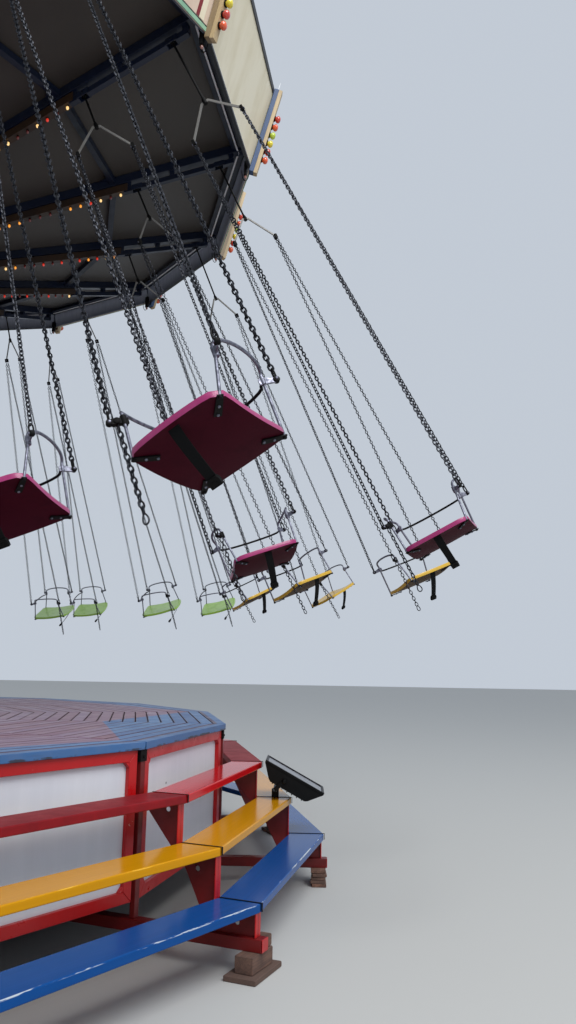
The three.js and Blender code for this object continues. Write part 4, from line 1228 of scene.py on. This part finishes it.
def rounding_boards():
    """Sixteen leaning boards, plain and decorated in turn, with rails, mouldings and backs."""
    stock = Stock()
    low_half = BOARD["bottom_radius"] * math.sin(HALF_SIDE) - 0.006
    high_half = BOARD["top_radius"] * math.sin(HALF_SIDE) - 0.006
    for side in range(SIDES):
        place, height = board_frame(side)

        def half(z):
            return low_half + (high_half - low_half) * z / height

        def strip(z0, z1, near, far, finish):
            outline = [(-half(z0), z0), (half(z0), z0), (half(z1), z1), (-half(z1), z1)]
            stock.put(standing(outline, near, far), place, finish=finish)

        (low_r, low_z), (high_r, high_z), thick = LINING.values()
        lining = [(high_r, high_z), (low_r, low_z), (low_r + thick, low_z), (high_r + thick, high_z)]
        stock.put(
            across_plate(lining, 2 * low_half - 0.030), turned(CANOPY_TURN + corner(side + 0.5)), finish=6,
            grain=lambda p, low=low_z: (p.y, p.x, p.z - low),
        )
        decorated = side % 2 == 0
        strip(0, height, 0.004, 0.012, 2 if decorated else 0)
        strip(0.002, height - 0.002, 0.012, BOARD["thick"], 6)
        strip(height - 0.040, height, -0.004, 0.004, 5)
        if not decorated:
            strip(-0.004, 0.012, -0.002, BOARD["thick"] + 0.004, 5)
            strip(0.013, 0.020, 0.001, 0.004, 1)
            continue
        strip(0, 0.030, -0.004, 0.004, 3)
        strip(0.036, 0.044, 0.001, 0.004, 5)
        strip(height - 0.056, height - 0.048, 0.001, 0.004, 5)
        for way in (-1, 1):
            for near, far, colour in ((0.070, 0.120, 0), (0.120, 0.150, 4)):
                low, high = 0.05, height - 0.06
                outline = [
                    (way * (half(low) - near), low), (way * (half(low) - far), low),
                    (way * (half(high) - far), high), (way * (half(high) - near), high),
                ]
                outline = outline if way < 0 else outline[::-1]
                stock.put(standing(outline, 0.001, 0.004), place, finish=colour)
        middle = height / 2
        for x, wide, tall in ((-0.40, 0.13, 0.20), (0.0, 0.20, 0.27), (0.40, 0.13, 0.20)):
            for share, deep, colour in ((1.0, 0.0025, 4), (0.82, 0.0015, 0), (0.45, 0.0005, 3)):
                lozenge = [
                    (x - wide * share, middle), (x, middle - tall * share),
                    (x + wide * share, middle), (x, middle + tall * share),
                ]
                stock.put(standing(lozenge, deep, 0.004), place, finish=colour)
    finishes = [
        cream_enamel, white_enamel, rose_enamel, green_enamel, crimson_enamel, ink_enamel, blue_grey_back,
    ]
    piece(
        "rounding_panels", stock.mesh("rounding_panels", finishes), "canopy",
        replaces=("rounding_boards",), slot="cream_board",
    )


def corner_strips():
    """Blue and brown ribs in turn over the joints of the boards, each with a tan strip, six bulb caps
    and a spike."""
    stock, caps = Stock(), Stock()
    foot = Vector((BOARD["bottom_radius"], 0, BOARD["bottom"]))
    head = Vector((BOARD["top_radius"], 0, BOARD["top"]))
    up = (head - foot).normalized()
    length = (head - foot).length
    y = Vector((0, 1, 0))
    out = y.cross(up)
    r = CAP["radius"]
    cap = lathe([
        (0.55 * r, 0), (0.62 * r, 0.25 * r), (r, 0.7 * r), (0.95 * r, 1.15 * r), (0.6 * r, 1.5 * r),
        (0, 1.62 * r),
    ], 12)
    socket = lathe([(0.8 * r, 0), (0.8 * r, 0.25 * r)], 10)
    rib, deep = CORNER_STRIP["rib"], CORNER_STRIP["deep"]
    for number in range(SIDES):
        place = turned(CANOPY_TURN + corner(number)) @ frame_of(out, y, up, foot)
        stock.put(box((rib, -0.030, -0.045), (deep, 0.030, length + 0.014)), place)
        backing = box((-0.004, -0.036, -0.040), (rib, 0.036, length + 0.012))
        stock.put(backing, place, finish=4 if number % 2 else 1)
        spike = Matrix.Translation((rib - 0.012, 0, length + 0.010))
        stock.put(lathe([(0.005, 0), (0.004, 0.07), (0.001, 0.100)], 8), place @ spike, finish=2)
        for bulb, colour in enumerate(CAP_ORDER):
            height = FIRST_CAP[number % len(FIRST_CAP)] + bulb * CAP["pitch"]
            spot = place @ Matrix.Translation((deep, 0, height)) @ QUARTER_Y
            stock.put(socket, spot, finish=3)
            caps.put(cap, spot @ Matrix.Translation((0, 0, 0.2 * r)), finish=colour)
    finishes = [tan_enamel, sky_enamel, white_enamel, dark_iron, brown_enamel]
    piece("corner_strips", stock.mesh("corner_strips", finishes), "canopy", arris=0.002)
    piece("corner_caps", caps.mesh("corner_caps", cap_colours, 80), "canopy")


def rim_irons():
    """Brackets and round-iron bows under the outer corners of the canopy, with one bulb to a corner."""
    stock, bulbs = Stock(), Stock()
    low = BOARD["bottom"] - 0.010
    r = BULB["radius"]
    bulb = lathe([
        (0, -2.6 * r), (0.7 * r, -2.2 * r), (1.1 * r, -1.4 * r), (0.8 * r, -0.6 * r), (0.5 * r, 0),
    ], 10)
    for number in range(SIDES):
        place = turned(CANOPY_TURN + corner(number))
        stock.put(box((4.052, -0.022, low - 0.060), (4.076, 0.022, low + 0.070)), place)
        bow = []
        for step in range(11):
            angle = math.pi * step / 10
            out, down = 0.033 * math.cos(angle), 0.100 * math.sin(angle)
            bow.append(place @ Vector((4.064 - out, 0.036, low + 0.010 - down)))
        stock.put(tube(bow, 0.0035, 6))
        bulbs.put(bulb, place @ Matrix.Translation((4.064, 0, low - 0.060)), finish=4)
    piece("rim_irons", stock.mesh("rim_irons", [dark_iron]), "canopy")
    piece("rim_bulbs", bulbs.mesh("rim_bulbs", bulb_colours, 80), "canopy")


def link_shape(bends, sides):
    """One chain link round the origin, with its long way along Z. Bends is the points on each end."""
    bend = (LINK["width"] - LINK["wire"]) / 2
    straight = (LINK["pitch"] + LINK["wire"]) / 2 - bend
    path, outs = [], []
    for end in (0, 1):
        for step in range(bends):
            angle = math.pi * (end + step / (bends - 1))
            out = Vector((math.cos(angle), 0, math.sin(angle)))
            outs.append(out)
            path.append(bend * out + Vector((0, 0, -straight if end else straight)))
    points, faces = [], []
    for centre, out in zip(path, outs):
        for side in range(sides):
            turn = 2 * math.pi * side / sides
            away = math.cos(turn) * out + math.sin(turn) * Vector((0, 1, 0))
            points.append(centre + LINK["wire"] / 2 * away)
    for index in range(len(path)):
        here, there = index * sides, ((index + 1) % len(path)) * sides
        for side in range(sides):
            after = (side + 1) % sides
            faces.append((here + side, here + after, there + after, there + side))
    return points, faces


def chain(stock, start, end, link, twist=0.0):
    """Links from one point to another, each turned a quarter against the last."""
    run = end - start
    count = round(run.length / LINK["pitch"])
    z = run.normalized()
    x = Vector((0, 1, 0)).cross(z).normalized()
    upright = frame_of(x, z.cross(x), z, Vector())
    for number in range(count):
        centre = start + run * ((number + 0.5) / count)
        quarter = number % 2 * math.pi / 2 + twist + rng.uniform(-0.08, 0.08)
        stock.put(link, Matrix.Translation(centre) @ upright @ Matrix.Rotation(quarter, 4, "Z"))


def shackle(stock, top, bottom, wide, across, finish):
    """A long closed link between two points, with its width along one direction."""
    run = (bottom - top).normalized()
    length, path = (bottom - top).length, []
    for step in range(12):
        angle = 2 * math.pi * step / 12
        middle = top + run * (length / 2)
        long = math.copysign(abs(math.cos(angle)) ** 0.7, math.cos(angle))
        path.append(middle + run * (length / 2 * long) + across * (wide / 2 * math.sin(angle)))
    stock.put(tube(path, LINK["wire"] / 2, 6, loop=True), finish=finish)


def clamp_points(x, y):
    """The rod's top and the chain's pin at one clamp of a chair, with the fork as origin."""
    top = Vector((x * CLAMP["x"], y * CLAMP["y"], HOOK_HEIGHT[y] - SEAT_DROP))
    return top, top + Vector((x * CLAMP["reach"], y * CLAMP["reach"], 0))


def tipped(angle):
    """The frame of a seat whose front is tipped up, about the middle of its clamps."""
    middle = Vector((0, 0, 0.2 - SEAT_DROP))
    return Matrix.Translation(middle) @ Matrix.Rotation(-angle, 4, "X") @ Matrix.Translation(-middle)


def chain_ends(x, y, tip=0.0):
    """The two ends of one chain of a chair."""
    pin = tipped(tip) @ clamp_points(x, y)[1]
    start = Vector((x * FORK["half"], y * 0.010, -FORK["drop"] - 0.040))
    return start, pin + (start - pin).normalized() * SHACKLE


def chair_chains(bends, sides, tip):
    """The four chains of a chair, from the fork's ends to the clamps."""
    stock, link = Stock(), link_shape(bends, sides)
    for x in (-1, 1):
        for y in (-1, 1):
            chain(stock, *chain_ends(x, y, tip), link, twist=0.6 * x + 0.3 * y)
    return stock.mesh(f"chair_chains_{bends}", [chain_zinc], 80)


def hanger(ring):
    """The hanging rod with its eye, and the flat two-armed fork with shackles at its ends."""
    stock = Stock()
    fork = -CHAIRS[ring]["rod"]
    stock.put(tube([Vector((0, 0, -0.020)), Vector((0, 0, fork + 0.015))], ROD_RADIUS, 10), finish=1)
    stock.put(lathe([(0.017, -0.012), (0.017, 0.012)], 16), QUARTER_X, finish=1)
    stock.put(lathe([(0.015, fork - 0.018), (0.017, fork + 0.010), (0.011, fork + 0.034)], 12), finish=1)
    wide = FORK["bar"] / 2
    for side in (-1, 1):
        knee = (side * FORK["shoulder"], fork - 0.004)
        tip = (side * FORK["half"], fork - FORK["drop"])
        outline = [
            (0, fork - wide), (knee[0], knee[1] - wide), (tip[0] - side * wide, tip[1]),
            (tip[0] + side * wide * 0.9, tip[1] + wide * 0.4), (knee[0] + side * wide * 0.5, knee[1] + wide),
            (0, fork + wide),
        ]
        stock.put(across_plate(outline if side > 0 else outline[::-1], FORK["thick"]))
        jaw = box((tip[0] - 0.011, -0.018, tip[1] - 0.030), (tip[0] + 0.011, 0.018, tip[1] + 0.012))
        stock.put(jaw, finish=1)
        pin = Matrix.Translation((tip[0], 0, tip[1] - 0.012)) @ QUARTER_Y
        stock.put(lathe([(0.008, -0.017), (0.008, 0.017)], 8), pin, finish=2)
    return stock.mesh(f"hanger_{ring}", [pale_enamel, dark_iron, bright_zinc])


def clamp(stock, x, y):
    """A clamp at the top of a corner rod: a collar, and a plate that reaches out to an eye for the chain.
    The front inner one is a swivel block that also carries the safety chain."""
    top, pin = clamp_points(x, y)
    away = Vector((x, y, 0)).normalized()
    across = UP.cross(away)
    place = frame_of(away, across, UP, top)
    reach, half = (pin - top).length, CLAMP["height"] / 2
    plate = 2 if x < 0 and y < 0 else 1
    outline = [
        (-0.016, -half * 0.9), (-0.008, -half), (reach * 0.6, -half * 0.85), (reach, -half * 0.85),
        (reach + 0.011, -half * 0.4), (reach + 0.011, half * 0.4), (reach, half * 0.85),
        (reach * 0.6, half * 0.6), (reach * 0.3, half), (-0.008, half), (-0.016, half * 0.7),
    ]
    stock.put(across_plate(outline, CLAMP["plate"]), place, finish=plate)
    tall, radius = (0.021, 0.0115) if y < 0 else (0.015, 0.0092)
    stock.put(lathe([(radius * 0.8, -tall), (radius, 0.003 - tall), (radius, tall)], 12), place, finish=plate)
    facing = place @ Matrix.Translation((reach, 0, 0)) @ QUARTER_X
    roller = lathe([(0.0105, -0.010), (0.0130, -0.007), (0.0130, 0.007), (0.0105, 0.010)], 14)
    stock.put(roller, facing, finish=2)
    for side in (-1, 1):
        stud = facing @ Matrix.Rotation(math.pi / 2 * (1 - side), 4, "X") @ Matrix.Translation((0, 0, 0.010))
        stock.put(bolt(0.0065, 0.005), stud, finish=1)
    if plate == 2:
        middle = place @ Matrix.Translation((reach * 0.5, 0, 0))
        stock.put(box((-0.016, -0.009, -half * 0.9), (0.018, 0.009, half * 0.8)), middle, finish=2)
        drum = lathe([(0.010, -0.014), (0.0125, -0.012), (0.0125, 0.012), (0.010, 0.014)], 12)
        stock.put(drum, middle @ QUARTER_X, finish=2)
    start, end = chain_ends(x, y)
    shackle(stock, end + (start - end).normalized() * 0.006, pin, 0.019, across, 2)


def pan_level(y):
    """The height of the pan's top at a distance from its middle, towards the back."""
    v = y / PAN["depth"]
    lift = (PAN_LIFT[-1] + PAN_LIFT[1]) / 2 + v * (PAN_LIFT[1] - PAN_LIFT[-1]) / 2
    return lift - SEAT_DROP + PAN["sag"] * (v * v - 1)


def corner_strap(stock, x, y):
    """The flat strap under a corner of the pan, held by two bolts. Returns the place of the rod's foot
    on its outer end."""
    away = Vector((x, y, 0)).normalized()
    across = UP.cross(away)
    foot = Vector((x * CORNER_ROD["x"], y * CORNER_ROD["y"], 0))
    path = []
    for inward in (-0.008, 0.012, 0.040, 0.064, CORNER_STRAP["length"]):
        spot = foot - away * inward
        spot.z = pan_level(spot.y) - PAN["thick"] - CORNER_STRAP["thick"] / 2 - 0.001
        path.append(spot)
    stock.put(ribbon(path, across, (0.022, CORNER_STRAP["width"]), CORNER_STRAP["thick"]), finish=2)
    end = path[0].lerp(path[1], 0.4)
    stock.put(bolt(0.0085, 0.008), Matrix.Translation(end) @ UPSIDE_DOWN, finish=2)
    for spot in (path[2], path[4] - (path[4] - path[3]) * 0.3):
        stock.put(bolt(0.0058, 0.0065), Matrix.Translation(spot) @ UPSIDE_DOWN, finish=1)
    return end


def chair_iron():
    """Corner rods, clamps, bent arm bars and the back bar of a chair."""
    stock = Stock()
    for x in (-1, 1):
        for y in (-1, 1):
            foot = corner_strap(stock, x, y)
            stock.put(tube([foot, clamp_points(x, y)[0]], CORNER_ROD["radius"], 10), finish=1)
            clamp(stock, x, y)
        arch = []
        for step in range(21):
            share = 0.5 - 0.5 * math.cos(math.pi * step / 20)
            angle = math.pi * share
            low = HOOK_HEIGHT[-1] + 0.018 + 0.012 * share - SEAT_DROP
            rise, bulge = math.sin(angle) ** 0.5, math.sin(angle) ** 1.2
            arch.append(Vector((
                x * (CLAMP["x"] + ARM_BAR["bulge"] * bulge), -CLAMP["y"] * math.cos(angle),
                low + ARM_BAR["lift"] * rise,
            )))
        stock.put(tube(arch, ARM_BAR["radius"], 10), finish=1)
    back = []
    for step in range(13):
        angle = math.pi * step / 12
        bow = 0.045 * math.sin(angle) ** 0.9
        across = -(CLAMP["x"] - 0.014) * math.cos(angle)
        back.append(Vector((across, CLAMP["y"] + bow, HOOK_HEIGHT[1] - 0.012 - SEAT_DROP)))
    stock.put(tube(back, 0.006, 10), finish=2)
    return stock.mesh("chair_iron", [chain_zinc, bright_zinc, dark_iron], 50)


def safety_chain():
    """The loose chain at the front inner clamp, with the wire hook that closes it across the rider."""
    stock = Stock()
    rod, pin = clamp_points(-1, -1)
    top = rod.lerp(pin, 0.5) - Vector((0, 0, CLAMP["height"] / 2 + 0.004))
    low = top - Vector((0, 0, SAFETY_CHAIN))
    chain(stock, top, low, link_shape(4, 3), twist=0.5)
    drop = []
    for step in range(14):
        angle = 2 * math.pi * step / 14
        pinch = 0.0115 * (1 - 0.4 * math.cos(angle))
        drop.append(low + Vector((pinch * math.sin(angle), 0, -0.019 + 0.0205 * math.cos(angle))))
    stock.put(tube(drop, 0.0032, 6, loop=True))
    return stock.mesh("safety_chain", [chain_zinc], 60)


def seat_pan(colour):
    """A dished seat of moulded ply with rounded corners and a front edge that is bowed and turned down."""
    stock = Stock()
    grid = 12
    half, depth, thick, corner_radius = (PAN[key] for key in ("half", "depth", "thick", "round"))

    def surface(u, v, drop, grow=0.0):
        x, y = u * (half + grow), v * (depth + grow)
        over_x, over_y = abs(x) - (half - corner_radius), abs(y) - (depth - corner_radius)
        if over_x > 0 and over_y > 0:
            pull = max(over_x, over_y) / math.hypot(over_x, over_y)
            x = math.copysign(half - corner_radius + over_x * pull, x)
            y = math.copysign(depth - corner_radius + over_y * pull, y)
        level = pan_level(y) + 0.004 * u * u
        front = max(0.0, -v)
        y -= PAN["bow"] * front ** 2 * (1 - u * u)
        lip = 0.008 * max(0.0, (front - 0.72) / 0.28) ** 2
        return Vector((x, y, level - lip - drop))

    rows = [2 * step / grid - 1 for step in range(grid + 1)]
    count = grid + 1
    top = [surface(u, v, 0.0) for v in rows for u in rows]
    under = [surface(u, v, thick) for v in rows for u in rows]
    border = [*range(grid), *(row * count + grid for row in range(grid))]
    border += [grid * count + column for column in range(grid, 0, -1)]
    border += [row * count for row in range(grid, 0, -1)]
    bulge = [surface(rows[index % count], rows[index // count], thick / 2, 0.002) for index in border]
    size = len(top)
    faces, under_faces = [], []
    for row in range(grid):
        for column in range(grid):
            a = row * count + column
            faces.append((a, a + 1, a + count + 1, a + count))
            under_faces.append((size + a + count, size + a + count + 1, size + a + 1, size + a))
    for index, here in enumerate(border):
        after = (index + 1) % len(border)
        there = border[after]
        faces.append((2 * size + index, 2 * size + after, there, here))
        faces.append((size + here, size + there, 2 * size + after, 2 * size + index))
    stock.put((top + under + bulge, faces + under_faces))
    # the underside faces take the seat's colour darkened as painted shade
    stock.finishes[len(faces):] = [1] * len(under_faces)
    return stock.mesh(f"{colour}_pan", [seat_top[colour], seat_under_painted_shade[colour]], 50)


def crotch_strap():
    """The webbing strap under the front of the seat, trailing back, with its heavy buckle."""
    stock = Stock()
    edge = -PAN["depth"] - PAN["bow"]
    across = Vector((1, 0, 0))
    under = pan_level(edge + 0.025) - PAN["thick"] - 0.004
    path = []
    for step in range(10):
        share = step / 9
        path.append(Vector((0, edge + 0.025 + 0.135 * share ** 1.2, under - 0.160 * share ** 0.95)))
    stock.put(ribbon(path, across, (0.044, 0.038), 0.004))
    end, before = path[-1], path[-2]
    back = (before - end).normalized()
    place = frame_of(across, back.cross(across), back, end)
    outline = [
        (-0.018, 0.006), (-0.0235, -0.004), (-0.022, -0.029),
        (0.022, -0.029), (0.0235, -0.004), (0.018, 0.006),
    ]
    stock.put(across_plate(outline, 0.018), place, finish=1)
    stock.put(box((-0.009, -0.012, -0.022), (0.009, 0.012, -0.009)), place, finish=1)
    return stock.mesh("crotch_strap", [strap_webbing, dark_iron], 40)


def chairs():
    """Thirty-two chairs. Each rides on its own body; like parts are copies of one mesh."""
    chains = {True: chair_chains(4, 4, 0.0), False: chair_chains(3, 3, 0.0)}
    parts = {"iron": chair_iron(), "safety_chain": safety_chain(), "strap": crotch_strap()}
    hangers = {ring: hanger(ring) for ring in CHAIRS}
    pans = {colour: seat_pan(colour) for colour in seat_top}
    slots = {part["node"]: part["material_slot"] for part in frame["record"]["subparts"]}

    def hang(name, mesh, node, below, **options):
        """Puts a copy of a mesh in a chair, in the chair's own swing, lean and twist."""
        own = mesh.copy()
        own.transform(pose @ below)
        piece(name, own, node, place, **options)

    for joint in frame["joints"]:
        if "swing" not in joint["name"]:
            continue
        node = joint["child"]
        ring, number = node.split("_")[1:]
        angles = [math.radians(angle) for angle in CHAIR_POSES.get(f"{ring}_{number}", MEAN_POSE)]
        more, lean, twist = angles[:3]
        tip = angles[3] if len(angles) > 3 else 0.0
        pose = Matrix.Rotation(-CHAIRS[ring]["swing"] - more, 4, "Y")
        pose = pose @ Matrix.Rotation(lean, 4, "X") @ Matrix.Rotation(twist, 4, "Z")
        axis = Vector(joint["axis"])
        place = Matrix.Translation(joint["pos_m"]) @ turned(math.atan2(axis.x, -axis.y))
        fork = Matrix.Translation((0, 0, -CHAIRS[ring]["rod"]))
        colour = slots[node].split("_")[0]
        hang(f"hanger_{ring}_{number}", hangers[ring], node, Matrix())
        links = chair_chains(3, 3, tip) if tip else chains[number in NEAR_ARMS]
        hang(f"chains_{ring}_{number}", links, node, fork)
        seat = fork @ tipped(tip)
        for name, mesh in parts.items():
            hang(f"{name}_{ring}_{number}", mesh, node, seat)
        hang(f"seat_{ring}_{number}", pans[colour], node, seat, replaces=(node,), slot=slots[node])


def dress_cad():
    """Materials for the CAD nodes whose shape is already right."""
    finishes = {
        "skirt_boards_1": white_ply, "skirt_boards_2": white_ply,
        # the centre base and the joists take the red enamel darkened as painted shade
        "centre_base": dark_red_enamel, "deck_joists": dark_red_enamel,
    }
    for name, material in finishes.items():
        materials = frame["nodes"][name].data.materials
        materials.clear()
        materials.append(material)


def stage():
    """A plain pale floor, soft light from all round and one wide lamp overhead."""
    mesh = bpy.data.meshes.new("floor")
    half = 60.0
    corners = [(-half, -half, 0), (half, -half, 0), (half, half, 0), (-half, half, 0)]
    mesh.from_pydata(corners, [], [(0, 1, 2, 3)])
    mesh.materials.append(finish("pale_floor", Base_Color=srgb("#B9B9B6"), Roughness=0.9)[0])
    floor = bpy.data.objects.new("floor", mesh)
    bpy.context.scene.collection.objects.link(floor)
    world = bpy.data.worlds.new("soft_sky")
    world.use_nodes = True
    sky = world.node_tree.nodes["Background"].inputs
    sky["Color"].default_value = srgb("#DDE6F2")
    sky["Strength"].default_value = 0.75
    bpy.context.scene.world = world
    light = bpy.data.lights.new("overhead", "AREA")
    light.shape = "DISK"
    light.size = 12.0
    light.energy = 2600
    lamp = bpy.data.objects.new("overhead", light)
    lamp.location = (9, -10, 15)
    lamp.rotation_euler = (Vector((0, 0, 3)) - lamp.location).to_track_quat("-Z", "Y").to_euler()
    bpy.context.scene.collection.objects.link(lamp)


def camera():
    """The standing photographer's view, solved from the corners of the platform and the canopy."""
    turn, pitch, roll = math.radians(VIEW["turn"]), math.radians(VIEW["pitch"]), VIEW["roll"]
    right = Vector((math.cos(turn), math.sin(turn), 0))
    ahead = Vector((-math.sin(turn), math.cos(turn), 0))
    look = ahead * math.cos(pitch) + UP * math.sin(pitch)
    top = UP * math.cos(pitch) - ahead * math.sin(pitch)
    x = right * math.cos(roll) + top * math.sin(roll)
    y = top * math.cos(roll) - right * math.sin(roll)
    data = bpy.data.cameras.new("photographer")
    data.lens = VIEW["lens"]
    data.sensor_width = 36
    data.clip_end = 200
    made = bpy.data.objects.new("photographer", data)
    made.matrix_world = frame_of(x, y, -look, Vector(VIEW["place"]))
    bpy.context.scene.collection.objects.link(made)
    bpy.context.scene.camera = made
    bpy.context.scene.view_settings.view_transform = "Standard"


camera()
deck_boards()
deck_irons()
tread_boards()
tread_irons()
under_frame()
packing()
skirt_frames()
floodlight()
centre()
canopy_steel()
light_strips()
roof_canvas()
rounding_boards()
corner_strips()
rim_irons()
chairs()
dress_cad()
stage()
